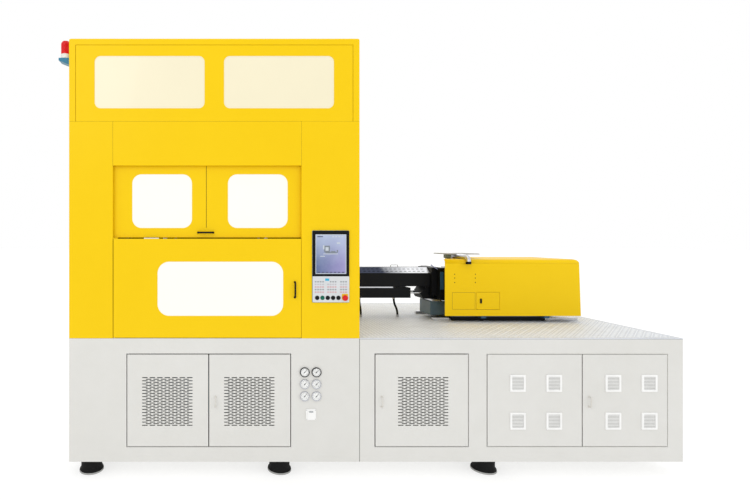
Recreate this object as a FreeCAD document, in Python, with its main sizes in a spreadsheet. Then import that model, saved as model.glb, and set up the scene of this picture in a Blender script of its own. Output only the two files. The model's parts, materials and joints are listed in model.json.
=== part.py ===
import FreeCAD, Part
import math
import os
import re
import Sketcher

# A one-stage injection stretch blow moulding machine. A lifting clamp turns an index table through four
# stations (injection, conditioning, blowing, take-out) inside a guarded tower, and an injection unit on
# the deck at the right feeds the first of them through the tower's side wall.
# Millimetres. +X runs to the right along the front, +Y to the rear and +Z up. The origin is on the floor,
# in the middle of the space that the machine fills.

doc = FreeCAD.newDocument("blow_moulding_machine")
sheet = doc.addObject("Spreadsheet::Sheet", "Dims")
aliases = []
parts = []
CLOSE = 0.01


# ---- helpers ---------------------------------------------------------------------------------------

def driving(**sizes):
    """Write driving dimensions into the sheet, one cell for each name."""
    for alias, size in sizes.items():
        aliases.append(alias)
        sheet.set(f"A{len(aliases)}", alias)
        sheet.set(f"B{len(aliases)}", str(size))
        sheet.setAlias(f"B{len(aliases)}", alias)


def formula(text):
    """Turn the lower-case words of a formula into references to the sheet's cells."""
    return re.sub(r"[a-z][a-z_]*", lambda word: f"Dims.{word[0]}", str(text))


def bind(thing, field, text):
    thing.setExpression(field, formula(text))


def place(thing, corner, turn=0):
    """Put a thing's own origin at a corner, turned about the vertical."""
    if turn:
        thing.Placement.Rotation = FreeCAD.Rotation(FreeCAD.Vector(0, 0, 1), turn)
    for axis, text in zip("xyz", corner):
        bind(thing, f"Placement.Base.{axis}", text)
    return thing


def keep(label, thing):
    """Name a finished sub-part."""
    thing.Label = label
    parts.append(thing)
    return thing


def box(size, corner):
    block = doc.addObject("Part::Box", "block")
    for field, text in zip(("Length", "Width", "Height"), size):
        bind(block, field, text)
    return place(block, corner)


DIRECTIONS = {"x": (1, 0, 0), "-x": (-1, 0, 0), "y": (0, 1, 0), "-y": (0, -1, 0), "z": (0, 0, 1)}


def aim(thing, axis):
    """Turn a thing that stands along +Z to lie along an axis."""
    up = FreeCAD.Vector(0, 0, 1)
    thing.Placement.Rotation = FreeCAD.Rotation(up, FreeCAD.Vector(*DIRECTIONS[axis]))


def rod(radius, length, start, axis="z"):
    bar = doc.addObject("Part::Cylinder", "rod")
    bind(bar, "Radius", radius)
    bind(bar, "Height", length)
    aim(bar, axis)
    return place(bar, start)


def prism(sides, radius, length, start):
    """An upright bar of several sides."""
    bar = doc.addObject("Part::Prism", "prism")
    bar.Polygon = sides
    bind(bar, "Circumradius", radius)
    bind(bar, "Height", length)
    return place(bar, start)


def cone(near_radius, far_radius, length, start, axis="z"):
    taper = doc.addObject("Part::Cone", "cone")
    bind(taper, "Radius1", near_radius)
    bind(taper, "Radius2", far_radius)
    bind(taper, "Height", length)
    aim(taper, axis)
    return place(taper, start)


def join(*pieces):
    union = doc.addObject("Part::MultiFuse", "join")
    union.Shapes = list(pieces)
    union.Refine = True
    return union


def group(*pieces):
    """Like pieces that stay separate solids."""
    loose = doc.addObject("Part::Compound", "group")
    loose.Links = list(pieces)
    return loose


def cut(base, *tools):
    opened = doc.addObject("Part::Cut", "cut")
    opened.Base = base
    opened.Tool = tools[0] if len(tools) == 1 else join(*tools)
    opened.Refine = True
    return opened


def new_body(corner, turn=0):
    return place(doc.addObject("PartDesign::Body", "body"), corner, turn)


def sketch(body, role, offset="0"):
    """A sketch on one of the body's own planes, set off along the plane's normal."""
    drawing = body.newObject("Sketcher::SketchObject", "sketch")
    plane = next(item for item in body.Origin.OriginFeatures if item.Role == role)
    drawing.AttachmentSupport = (plane, [""])
    drawing.MapMode = "FlatFace"
    bind(drawing, "AttachmentOffset.Base.z", offset)
    return drawing


def outline(drawing, corners):
    """A closed outline of straight sides, each corner placed by two formulas."""
    first = drawing.GeometryCount
    count = len(corners)
    spots = [FreeCAD.Vector(math.cos(n / count), math.sin(n / count), 0) for n in range(count)]
    for n in range(count):
        drawing.addGeometry(Part.LineSegment(spots[n], spots[(n + 1) % count]), False)
    for n in range(count):
        drawing.addConstraint(Sketcher.Constraint("Coincident", first + n, 2, first + (n + 1) % count, 1))
    for n, corner in enumerate(corners):
        for kind, text in zip(("DistanceX", "DistanceY"), corner):
            constraint = drawing.addConstraint(Sketcher.Constraint(kind, -1, 1, first + n, 1, 1.0))
            bind(drawing, f"Constraints[{constraint}]", text)


def rectangle(drawing, left, low, wide, high):
    right, top = f"{left} + {wide}", f"{low} + {high}"
    outline(drawing, [(left, low), (right, low), (right, top), (left, top)])


def circle(drawing, across, up, radius):
    ring = drawing.addGeometry(Part.Circle(FreeCAD.Vector(1, 1, 0), FreeCAD.Vector(0, 0, 1), 1), False)
    for kind, text in (("DistanceX", across), ("DistanceY", up)):
        constraint = drawing.addConstraint(Sketcher.Constraint(kind, -1, 1, ring, 3, 1.0))
        bind(drawing, f"Constraints[{constraint}]", text)
    constraint = drawing.addConstraint(Sketcher.Constraint("Radius", ring, 1.0))
    bind(drawing, f"Constraints[{constraint}]", radius)


def feature(body, kind, drawing, length, backwards=False):
    """A pad or a pocket of a sketch."""
    step = body.newObject(f"PartDesign::{kind}", kind.lower())
    step.Profile = drawing
    bind(step, "Length", length)
    step.Reversed = backwards
    doc.recompute()
    return step


def repeat(body, step, drawing, axis, spacing, count):
    """A row of copies of a step along a sketch's own axis."""
    row = body.newObject("PartDesign::LinearPattern", "row")
    row.Originals = [step]
    row.Direction = (drawing, [axis])
    bind(row, "Length", f"{spacing} * {count - 1}")
    row.Occurrences = count
    body.Tip = row
    return row


def round_edges(body, radius, chosen):
    """Round the edges of the body's last step that a test picks."""
    doc.recompute()
    last = body.Tip
    names = [f"Edge{n}" for n, edge in enumerate(last.Shape.Edges, start=1) if chosen(edge)]
    rounding = body.newObject("PartDesign::Fillet", "rounding")
    rounding.Base = (last, names)
    bind(rounding, "Radius", radius)
    doc.recompute()
    return rounding


def size(alias):
    """A cell's value as a number."""
    return float(getattr(sheet, alias))


def pan(wide, high, deep, corner, turn=0, windows=(), rim="rim", window_round="gate_round"):
    """A folded front: a thin skin with a square rim round its back, and windows through the skin."""
    body = new_body(corner, turn)
    front = sketch(body, "XZ_Plane")
    rectangle(front, "0", "0", wide, high)
    feature(body, "Pad", front, deep, backwards=True)
    hollow = sketch(body, "XZ_Plane", "-skin")
    rectangle(hollow, rim, rim, f"{wide} - 2 * {rim}", f"{high} - 2 * {rim}")
    feature(body, "Pocket", hollow, f"{deep} - skin")
    for window in windows:
        frame = sketch(body, "XZ_Plane")
        rectangle(frame, *window)
        feature(body, "Pocket", frame, "skin")
    if windows:
        def window_corner(edge):
            run = edge.Vertexes[-1].Point - edge.Vertexes[0].Point
            return abs(edge.Length - size("skin")) < CLOSE and abs(abs(run.y) - size("skin")) < CLOSE
        round_edges(body, window_round, window_corner)
    return body


def bow(wide, deep, high, bar, corner):
    """A bow handle standing on the plane behind it: a C of square bar."""
    outer = box((wide, deep, high), corner)
    across, back, low = corner
    if size(high) > size(wide):
        gap = box((wide, f"{deep} - {bar}", f"{high} - 2 * {bar}"),
                  (across, f"{back} + {bar}", f"{low} + {bar}"))
    else:
        gap = box((f"{wide} - 2 * {bar}", f"{deep} - {bar}", high),
                  (f"{across} + {bar}", f"{back} + {bar}", low))
    return cut(outer, gap)


# ---- driving dimensions and datum planes -----------------------------------------------------------

driving(tower_width=2470, right_length=2750, base_depth=2200, beacon_reach=100, front_reach=33,
        foot_height=120, base_height=1050, tower_height=2555, wall=30, deck_thick=8, skin=3, rim=24)
LEFT = "(beacon_reach - tower_width - right_length) / 2"
JOINT = f"{LEFT} + tower_width"
FRONT = "(front_reach - base_depth) / 2"
BACK = "(front_reach + base_depth) / 2"
MIDDLE = "front_reach / 2"
DECK = "foot_height + base_height"

# base doors: leaves hung on corner pins, flush with the cabinet's front
driving(door_low=130, door_high=785, door_deep=22, door_gap=5, leaf_gap=4, pivot_inset=7,
        pin_radius=4, pin_play=0.1, pin_hold=20, pin_end=1,
        pair_from=493, pair_leaf=693, single_from=133, single_leaf=791,
        vent_pair_from=1085, vent_leaf_one=806, vent_leaf_two=722,
        slot_wide=48, slot_high=17, slot_pitch=63, slot_rise=72, grille_low=176,
        pair_grille=128, single_grille=193,
        pull_wide=20, pull_high=94, pull_out=30, pull_bar=9, pull_from=45, pull_low=335,
        vent_wide=132, vent_high=144, vent_out=9, vent_from=192, vent_step=308, vent_low=146, vent_rise=321,
        louvre_wide=100, louvre_high=9, louvre_pitch=18, louvre_deep=6, louvre_low=18)

# tower fronts
driving(cap_low=1845, cap_round=22, cap_border=54, cap_panel_high=648, panel_gap=3, cap_window_round=51,
        top_window_wide=935, top_window_high=445, top_window_low=111, top_window_side=550,
        left_panel=372, right_panel=493, header_low=1470,
        gate_low=857, gate_high=628, gate_deep=24, gate_back=36, gate_side=24, gate_window_wide=513,
        gate_window_high=461, gate_window_low=82, gate_window_left=158, gate_window_right=979, gate_round=80,
        gate_seam_from=816, gate_seam_wide=4, gate_seam_deep=1.5, gate_seam_low=85,
        rail_wide=40, rail_deep=38, rail_bottom=20, rail_play=2, rail_rest=0.5, rail_rise=1203,
        rail_overlap=12, handle_long=141, handle_bar=10, handle_out=32, gate_handle_low=38,
        gate_handle_from=742,
        door_bottom=5, door_top=847, front_door_deep=30, door_side_gap=8, door_window_wide=1069,
        door_window_high=461, door_window_from=375, door_window_low=186, door_round=100,
        door_handle_from=1538, door_handle_low=338,
        tab_wide=40, tab_thick=8, tab_gap=1, pane_thick=6, pane_lap=14, post=60,
        side_opening_wide=380, side_opening_high=400, side_opening_low=245)

# control panel
driving(panel_from=2069, panel_low=308, panel_wide=310, panel_high=606, bezel=12, bezel_inset=10,
        bezel_play=2, housing_deep=60, screen_wide=262, screen_high=336, screen_low=240, screen_sunk=2,
        button_line=38, button_first=38, button_step=45, button_radius=13, button_out=5, button_long=15,
        bore_play=0.1, button_well=20, stop_from=273, stop_stem=11, stop_head=24, stop_high=13,
        stop_lift=6, stop_collar=30, stop_collar_high=2, stop_well=26, stop_long=16)

# beacon
driving(beacon_low=2341, beacon_back=70, bracket_deep=84, bracket_high=56, bracket_root=62, bracket_tip=22,
        beacon_out=47, ring_radius=46, ring_high=38, lens_foot=43, lens_body=40, lens_crown=33,
        lens_high=113, lens_step=13)

# clamp, table and moulds
driving(table_from=1235, bed_half=735, bed_side=620, bed_high=90, bar_x=500, bar_y=480, bar_radius=50,
        bar_play=0.1, top_low=1910, top_half=600, top_side=580, top_high=100, cylinder_radius=130,
        cylinder_high=380, ram_radius=45, ram_top=2330, ram_room=40, moving_low=1430, moving_high=90,
        bush_half=75, bush_high=60, spindle_radius=60, spindle_low=936, collar_radius=100, collar_high=19,
        table_low=956, table_radius=560, table_high=60, hub_radius=130, hub_high=54,
        station=430, cavity_step=80, neck_radius=15, neck_long=260, neck_wide=110, neck_high=25,
        core_radius=12, core_long=250, plate_low=1270, plate_wide=160, plate_long=380, plate_high=40,
        guide_side=150, guide_radius=20, guide_top=1770, stroke_half=45, stroke_high=240, stroke_rod=15,
        stretch_radius=7, bell_radius=24, bell_long=12,
        stroke_top=1720, stroke_end=20)
driving(mould_top=680, mould_wide=300, mould_long=420, block_wide=260, block_long=400,
        block_low=500, cavity_radius=13.5, cavity_deep=160, seat_radius=30, seat_out=20,
        pot_long=420, pot_wide=200, pot_low=480, pot_foot=120, pot_radius=22, pot_deep=170,
        slide_side=140, slide_wide=40, slide_high=30, slide_play=0.5, slide_end=20, slide_long=570,
        blow_wide=150, blow_long=400, blow_low=420, carrier_wide=110, carrier_low=15, blow_open=120,
        bottle_radius=60, bottle_foot=430, bottle_shoulder=610, bottle_neck=665, bottle_mouth=14,
        parting=0.25)

# injection unit
driving(barrel_axis=445, barrel_radius=65, barrel_tip=18, nozzle_long=60, nozzle_gap=0.5, band_radius=75,
        band_long=260, band_step=400, band_from=120,
        guard_from=30, guard_side=135, guard_low=345, guard_shoulder=486, guard_top=543, guard_crown=45,
        guard_skin=4, guard_slot=44, guard_slot_high=9, guard_pitch=81, guard_slot_from=60,
        guard_row_one=12, guard_row_two=33,
        wire_from=660, wire_long=86, wire_high=26, wire_bar=6,
        thrust_from=1090, thrust_thick=60, thrust_side=240, thrust_low=210, thrust_top=545,
        lug_from=945, lug_low=210, lug_foot=29, lug_mid=259, lug_top=342, lug_head=57, lug_side=110,
        traverse_axis=270, traverse_side=80, traverse_radius=8, traverse_from=530, traverse_well=440,
        box_long=827, box_low=222, box_high=108,
        support_from=1036, support_step=20, support_long=200, support_side=137, support_low=40,
        support_top=188,
        bed_from=1195, bed_long=972, bed_wide=270, sled_low=42, sled_high=24,
        track_side=215, track_wide=40, track_high=30, track_from=1020, track_long=1500,
        shoe_wide=90, shoe_long=160, shoe_low=8, shoe_play=0.5, shoe_first=1215, shoe_step=780,
        feed_from=1373, feed_half=110, feed_low=350, feed_top=545, throat_half=60, throat_bore=40,
        throat_top=683, throat_deep=200,
        flange_half=168, flange_thick=10, flange_bolt=140, flange_hole=7,
        spout_radius=24, spout_axis=667, spout_side=70, spout_start=75, spout_reach=392,
        spout_end=593, elbow_half=26,
        drive_radius=55, drive_side=175, drive_from=1510, drive_long=480, yoke_thick=60, yoke_high=330,
        motor_radius=105, motor_long=300, shaft_radius=30, yoke_over=20,
        bracket_long=50, bracket_rise=30, bracket_first=260, bracket_step=640)
driving(cover_from=1084, cover_long=1376, cover_side=357, cover_low=67, cover_high=572, cover_skin=6,
        cover_round=40, cover_lean=20, cover_hole=95, cover_cut=344,
        hatch_from=318, hatch_low=66, hatch_wide=233, hatch_high=173, hatch_deep=8, hatch_gap=3,
        hatch_inset=5, hatch_pin=2, hatch_hold=9, lug_block=16, lug_back=1,
        plate_line=2, plate_deep=1, latch_from=36, latch_wide=16, latch_high=46, latch_out=7)

# feet, tank, switchgear, gauges, hoses
driving(foot_front=115, foot_one=161, foot_two=1802, foot_three=3587, foot_radius=103,
        foot_step=26, mount_radius=92, mount_high=84, foot_stud=24,
        tank_from=330, tank_wide=1100, tank_back=1000, tank_deep=850, tank_high=430, pump_radius=150,
        pump_long=520, pump_block=150, pump_axis=210, switch_from=1250, switch_wide=1150, switch_back=1500,
        switch_thick=20, switch_high=760, drive_wide=260, drive_deep=180, drive_high=520, drive_step=340,
        drive_first=80, drive_foot=120,
        partition_from=1005,
        gauge_from=2003, gauge_step=100, gauge_low=559, gauge_rise=102, gauge_radius=41, gauge_rim=36,
        gauge_out=12, gauge_sunk=4, pointer_wide=5, pointer_long=48, pointer_high=2,
        socket_from=2014, socket_low=359, socket_wide=84, socket_high=90, socket_out=9,
        hose_radius=11, hose_one=322, hose_one_sway=17, hose_two=696, hose_two_sway=42)


# ---- bases ------------------------------------------------------------------------------------------

def leaf_pins(axis_x, low, high, under, over):
    """The two weld pins that a leaf turns on: they stand on the frame's edges under and over it."""
    depth = f"{FRONT} + pivot_inset"
    hold = "pin_hold - pin_end"
    return [rod("pin_radius", f"{under} + {hold}", (axis_x, depth, f"{low} - {under}")),
            rod("pin_radius", f"{over} + {hold}", (axis_x, depth, f"{high} - ({hold})"))]


LOW = "foot_height + door_low"
HIGH = f"{LOW} + door_high"
# hinge side, left edge and width of each base leaf
LEAVES = {
    "hydraulic_door_left": ("left", f"{LEFT} + pair_from", "pair_leaf"),
    "hydraulic_door_right": ("right", f"{LEFT} + pair_from + pair_leaf + leaf_gap", "pair_leaf"),
    "centre_door": ("right", f"{JOINT} + single_from", "single_leaf"),
    "electric_door_left": ("left", f"{JOINT} + vent_pair_from", "vent_leaf_one"),
    "electric_door_right": ("right", f"{JOINT} + vent_pair_from + vent_leaf_one + leaf_gap", "vent_leaf_two"),
}


def pivot_x(hinge, left, wide):
    return f"{left} + pivot_inset" if hinge == "left" else f"{left} + {wide} - pivot_inset"


def opening(left, wide):
    """The hole in a cabinet's front that a leaf or a pair of leaves fills, with its gap all round."""
    return box((f"{wide} + 2 * door_gap", "wall", "door_high + 2 * door_gap"),
               (f"{left} - door_gap", FRONT, f"{LOW} - door_gap"))


def cabinet(left, long, high, rooms, holes, *extra):
    """A welded cabinet: an outer box hollowed into rooms, with holes and extra pieces on its front."""
    shell = box((long, "base_depth", high), (left, FRONT, "foot_height"))
    room_high = f"{high} - 2 * wall"
    hollow = [box((wide, "base_depth - 2 * wall", room_high),
                  (start, f"{FRONT} + wall", "foot_height + wall")) for start, wide in rooms]
    body = cut(shell, *hollow, *holes)
    return join(body, *extra) if extra else body


def hydraulic_base():
    pair = opening(f"{LEFT} + pair_from", "2 * pair_leaf + leaf_gap")
    socket = box(("socket_wide", "socket_out", "socket_high"),
                 (f"{LEFT} + socket_from", f"{FRONT} - socket_out", "foot_height + socket_low"))
    room = (f"{LEFT} + wall", "tower_width - 2 * wall")
    keep("hydraulic_base", cabinet(LEFT, "tower_width", "base_height", [room], [pair], socket))


def electric_base():
    single = opening(f"{JOINT} + single_from", "single_leaf")
    pair = opening(f"{JOINT} + vent_pair_from", "vent_leaf_one + vent_leaf_two + leaf_gap")
    rooms = [(f"{JOINT} + wall", "partition_from - wall"),
             (f"{JOINT} + partition_from + wall", "right_length - partition_from - 2 * wall")]
    keep("electric_base", cabinet(JOINT, "right_length", "base_height - deck_thick", rooms, [single, pair]))


def deck_plate():
    """The tread plate that covers the right-hand cabinet."""
    keep("deck_plate", box(("right_length", "base_depth", "deck_thick"),
                           (JOINT, FRONT, f"{DECK} - deck_thick")))


def levelling_feet():
    """Machine mounts: a foot plate, a rubber drum and the hexagon stud that screws into the base."""
    feet = []
    for across in ("foot_one", "foot_two", "foot_three"):
        for depth in (f"{FRONT} + foot_front", f"{BACK} - foot_front"):
            spot = (f"{LEFT} + {across}", depth)
            plate = rod("foot_radius", "foot_step", (*spot, "0"))
            drum = rod("mount_radius", "mount_high", (*spot, "foot_step"))
            stud = prism(6, "foot_stud", "foot_height - foot_step - mount_high",
                         (*spot, "foot_step + mount_high"))
            feet.append(join(plate, drum, stud))
    keep("levelling_feet", group(*feet))


# ---- base doors -------------------------------------------------------------------------------------

def leaf_pivots(body, hinge, wide, high):
    """Blind holes for the pins in the leaf's top and bottom edges."""
    across = "pivot_inset" if hinge == "left" else f"{wide} - pivot_inset"
    low = sketch(body, "XY_Plane")
    circle(low, across, "pivot_inset", "pin_radius + pin_play")
    feature(body, "Pocket", low, "pin_hold", backwards=True)
    top = sketch(body, "XY_Plane", high)
    circle(top, across, "pivot_inset", "pin_radius + pin_play")
    feature(body, "Pocket", top, "pin_hold")


SLOT_ROWS = 6
LOUVRES = 6


def grille(body, from_left):
    """Staggered slots: rows of seven, with rows of six between them."""
    for count, shift, lift in ((7, "0", "0"), (6, "slot_pitch / 2", "slot_rise / 2")):
        row = sketch(body, "XZ_Plane")
        for n in range(count):
            rectangle(row, f"{from_left} + {shift} + {n} * slot_pitch", f"grille_low + {lift}",
                      "slot_wide", "slot_high")
        slots = feature(body, "Pocket", row, "skin")
        repeat(body, slots, row, "V_Axis", "slot_rise", SLOT_ROWS)


def pull(left, low):
    return bow("pull_wide", "pull_out", "pull_high", "pull_bar", (left, f"{FRONT} - pull_out", low))


def vent(across, low):
    """A raised filter frame with louvres cut across it."""
    frame = box(("vent_wide", "vent_out", "vent_high"), (across, f"{FRONT} - vent_out", low))
    grooves = [box(("louvre_wide", "louvre_deep", "louvre_high"),
                   (f"{across} + (vent_wide - louvre_wide) / 2", f"{FRONT} - vent_out",
                    f"{low} + louvre_low + {n} * louvre_pitch")) for n in range(LOUVRES)]
    return cut(frame, *grooves)


def base_doors():
    for name, (hinge, left, wide) in LEAVES.items():
        leaf = pan(wide, "door_high", "door_deep", (left, FRONT, LOW))
        leaf_pivots(leaf, hinge, wide, "door_high")
        if name.startswith("hydraulic"):
            grille(leaf, "pair_grille")
        if name == "centre_door":
            grille(leaf, "single_grille")
        fitted = []
        if name in ("hydraulic_door_right", "centre_door", "electric_door_right"):
            fitted.append(pull(f"{left} + pull_from", f"{LOW} + pull_low"))
        if name.startswith("electric"):
            for column in range(2):
                for line in range(2):
                    fitted.append(vent(f"{left} + vent_from + {column} * vent_step",
                                       f"{LOW} + vent_low + {line} * vent_rise"))
        keep(name, join(leaf, *fitted) if fitted else leaf)


# ---- tower ------------------------------------------------------------------------------------------

FRONT_DOOR_LEFT = f"{LEFT} + left_panel + door_gap"
FRONT_DOOR_WIDE = "(tower_width - left_panel - right_panel - door_side_gap)"
FRONT_DOOR_AXIS = f"{FRONT_DOOR_LEFT} + pivot_inset"
OPENING_WIDE = "(tower_width - left_panel - right_panel)"


def tower_cap():
    """Roof and upper band in one folded piece, rounded all round its top."""
    body = new_body((LEFT, FRONT, f"{DECK} + cap_low"))
    plan = sketch(body, "XY_Plane")
    rectangle(plan, "0", "0", "tower_width", "base_depth")
    high = "tower_height - cap_low"
    feature(body, "Pad", plan, high)
    top = size("tower_height") - size("cap_low")

    def top_edge(edge):
        return min(vertex.Z for vertex in edge.Vertexes) > top - CLOSE
    round_edges(body, "cap_round", top_edge)
    inside = sketch(body, "XY_Plane")
    rectangle(inside, "wall", "wall", "tower_width - 2 * wall", "base_depth - 2 * wall")
    feature(body, "Pocket", inside, f"{high} - wall", backwards=True)
    face = sketch(body, "XZ_Plane")
    rectangle(face, "cap_border", "0", "tower_width - 2 * cap_border", "cap_panel_high + panel_gap")
    feature(body, "Pocket", face, "wall")
    keep("tower_cap", body)


def window_panes(label, windows, depth, low, left):
    """Milky panes bonded behind a skin, a little larger than the openings they close."""
    panes = []
    for from_left, from_low, wide, high in windows:
        panes.append(box((f"{wide} + 2 * pane_lap", "pane_thick", f"{high} + 2 * pane_lap"),
                         (f"{left} + {from_left} - pane_lap", f"{depth} + skin",
                          f"{low} + {from_low} - pane_lap")))
    keep(label, group(*panes) if len(panes) > 1 else panes[0])


def top_windows():
    wide = "(tower_width - 2 * cap_border - 2 * panel_gap)"
    left = f"{LEFT} + cap_border + panel_gap"
    low = f"{DECK} + cap_low"
    middle = f"{wide} / 2 - top_window_wide / 2"
    windows = [(f"{middle} {sign} top_window_side", "top_window_low", "top_window_wide", "top_window_high")
               for sign in "-+"]
    keep("top_window_panel", pan(wide, "cap_panel_high", "wall", (left, FRONT, low), windows=windows,
                                 window_round="cap_window_round"))
    window_panes("top_windows", windows, FRONT, low, left)


def tower_fronts():
    """The fixed fronts: left, right with its cut-out for the control panel, and the header."""
    left = pan("left_panel", "cap_low", "wall", (LEFT, FRONT, DECK))
    tab = box(("tab_wide", "wall - skin", "tab_thick"),
              (f"{LEFT} + left_panel", f"{FRONT} + skin", f"{DECK} + door_top + tab_gap"))
    keep("front_panel_left", join(left, tab))
    start = f"{LEFT} + tower_width - right_panel"
    right = pan("right_panel", "cap_low", "wall", (start, FRONT, DECK))
    hole = box(("panel_wide - 2 * bezel_inset + 2 * bezel_play", "wall",
                "panel_high - 2 * bezel_inset + 2 * bezel_play"),
               (f"{LEFT} + panel_from + bezel_inset - bezel_play", FRONT,
                f"{DECK} + panel_low + bezel_inset - bezel_play"))
    keep("front_panel_right", cut(right, hole))
    keep("header_panel", pan(OPENING_WIDE, "cap_low - header_low", "wall",
                             (f"{LEFT} + left_panel", FRONT, f"{DECK} + header_low")))


def tower_sides():
    deep = "(base_depth - 2 * wall)"
    keep("tower_side_left", pan(deep, "cap_low", "wall", (LEFT, f"{BACK} - wall", DECK), turn=-90))
    right = pan(deep, "cap_low", "wall", (JOINT, f"{FRONT} + wall", DECK), turn=90)
    hole = box(("wall", "side_opening_wide", "side_opening_high"),
               (f"{JOINT} - wall", f"{MIDDLE} - side_opening_wide / 2", f"{DECK} + side_opening_low"))
    keep("tower_side_right", cut(right, hole))
    keep("tower_rear", pan("tower_width", "cap_low", "wall", (JOINT, BACK, DECK), turn=180))


def tower_posts():
    """Square posts in the tower's inner corners, from the base to the roof."""
    posts = [box(("post", "post", "tower_height - wall"), (across, depth, DECK))
             for across in (f"{LEFT} + wall", f"{JOINT} - wall - post")
             for depth in (f"{FRONT} + wall", f"{BACK} - wall - post")]
    keep("tower_posts", group(*posts))


def gate():
    """The lifting gate: two windows, a seam between its halves and a bow handle at its foot."""
    left = f"{LEFT} + left_panel - gate_side"
    depth, low = f"{FRONT} + gate_back", f"{DECK} + gate_low"
    wide = f"({OPENING_WIDE} + 2 * gate_side)"
    windows = [(f"{start} - gate_window_wide / 2 + gate_side", "gate_window_low", "gate_window_wide",
                "gate_window_high") for start in ("gate_window_left + gate_window_wide / 2",
                                                  "gate_window_right + gate_window_wide / 2")]
    body = pan(wide, "gate_high", "gate_deep", (left, depth, low), windows=windows)
    seam = sketch(body, "XZ_Plane")
    rectangle(seam, "gate_seam_from", "gate_seam_low", "gate_seam_wide", "gate_high - gate_seam_low")
    feature(body, "Pocket", seam, "gate_seam_deep")
    keep("upper_gate", body)
    window_panes("gate_windows", windows, depth, low, left)
    corner = (f"{left} + gate_handle_from", f"{depth} - handle_out", f"{low} + gate_handle_low")
    keep("gate_handle", bow("handle_long", "handle_out", "handle_bar", "handle_bar", corner))


def gate_rails():
    """Channels behind the fronts that the gate's edges run in, closed at the foot as a stop."""
    low = f"{DECK} + gate_low - rail_bottom - rail_rest"
    depth = f"{FRONT} + wall"
    rails = []
    left = f"{LEFT} + left_panel - gate_side + rail_overlap - rail_wide"
    right = f"{LEFT} + left_panel + {OPENING_WIDE} + gate_side - rail_overlap"
    edges = ((left, "rail_wide - rail_overlap - rail_play"), (right, "0"))
    for start, groove in edges:
        bar = box(("rail_wide", "rail_deep", "rail_bottom + rail_rise"), (start, depth, low))
        slot = box(("rail_overlap + rail_play", "gate_deep + 2 * rail_play", "rail_rise"),
                   (f"{start} + {groove}", f"{FRONT} + gate_back - rail_play", f"{low} + rail_bottom"))
        rails.append(cut(bar, slot))
    keep("gate_rails", group(*rails))


def lower_door():
    depth, low = FRONT, f"{DECK} + door_bottom"
    high = "(door_top - door_bottom)"
    window = ("door_window_from", "door_window_low", "door_window_wide", "door_window_high")
    body = pan(FRONT_DOOR_WIDE, high, "front_door_deep", (FRONT_DOOR_LEFT, depth, low), windows=[window],
               window_round="door_round")
    leaf_pivots(body, "left", FRONT_DOOR_WIDE, high)
    keep("lower_door", body)
    window_panes("lower_door_window", [window], depth, low, FRONT_DOOR_LEFT)
    keep("lower_door_handle", bow("handle_bar", "handle_out", "handle_long", "handle_bar",
                                  (f"{FRONT_DOOR_LEFT} + door_handle_from", f"{depth} - handle_out",
                                   f"{low} + door_handle_low")))


def door_pins():
    """All the pivot pins of the swinging doors."""
    pins = []
    for leaf in LEAVES.values():
        pins += leaf_pins(pivot_x(*leaf), LOW, HIGH, "door_gap", "door_gap")
    pins += leaf_pins(FRONT_DOOR_AXIS, f"{DECK} + door_bottom", f"{DECK} + door_top",
                      "door_bottom", "tab_gap")
    keep("door_hinge_pins", group(*pins))


# ---- control panel and beacon ----------------------------------------------------------------------

PANEL_X = f"{LEFT} + panel_from"
PANEL_Z = f"{DECK} + panel_low"
BUTTON_Z = f"{PANEL_Z} + button_line"


def control_panel():
    bezel = box(("panel_wide", "bezel", "panel_high"), (PANEL_X, f"{FRONT} - bezel", PANEL_Z))
    housing = box(("panel_wide - 2 * bezel_inset", "housing_deep", "panel_high - 2 * bezel_inset"),
                  (f"{PANEL_X} + bezel_inset", FRONT, f"{PANEL_Z} + bezel_inset"))
    collar = rod("stop_collar", "stop_collar_high + bezel",
                 (f"{PANEL_X} + stop_from", FRONT, BUTTON_Z), "-y")
    screen = box(("screen_wide", "screen_sunk", "screen_high"),
                 (f"{PANEL_X} + (panel_wide - screen_wide) / 2", f"{FRONT} - bezel",
                  f"{PANEL_Z} + screen_low"))
    wells = [rod("button_radius + bore_play", "button_well",
                 (f"{PANEL_X} + button_first + {n} * button_step", f"{FRONT} - bezel", BUTTON_Z), "y")
             for n in range(5)]
    wells.append(rod("stop_stem + bore_play", "stop_well",
                     (f"{PANEL_X} + stop_from", f"{FRONT} - bezel - stop_collar_high", BUTTON_Z), "y"))
    keep("control_panel", cut(join(bezel, housing, collar), screen, *wells))


def buttons():
    for n in range(5):
        plunger = rod("button_radius", "button_out + button_long",
                      (f"{PANEL_X} + button_first + {n} * button_step", f"{FRONT} - bezel - button_out",
                       BUTTON_Z), "y")
        keep(f"push_button_{n + 1}", plunger)
    face = f"{FRONT} - bezel - stop_collar_high - stop_lift"
    across = f"{PANEL_X} + stop_from"
    head = rod("stop_head", "stop_high", (across, face, BUTTON_Z), "-y")
    stem = rod("stop_stem", "stop_lift + stop_long", (across, face, BUTTON_Z), "y")
    keep("emergency_stop", join(head, stem))


LENS_FLUTES = 16


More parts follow.
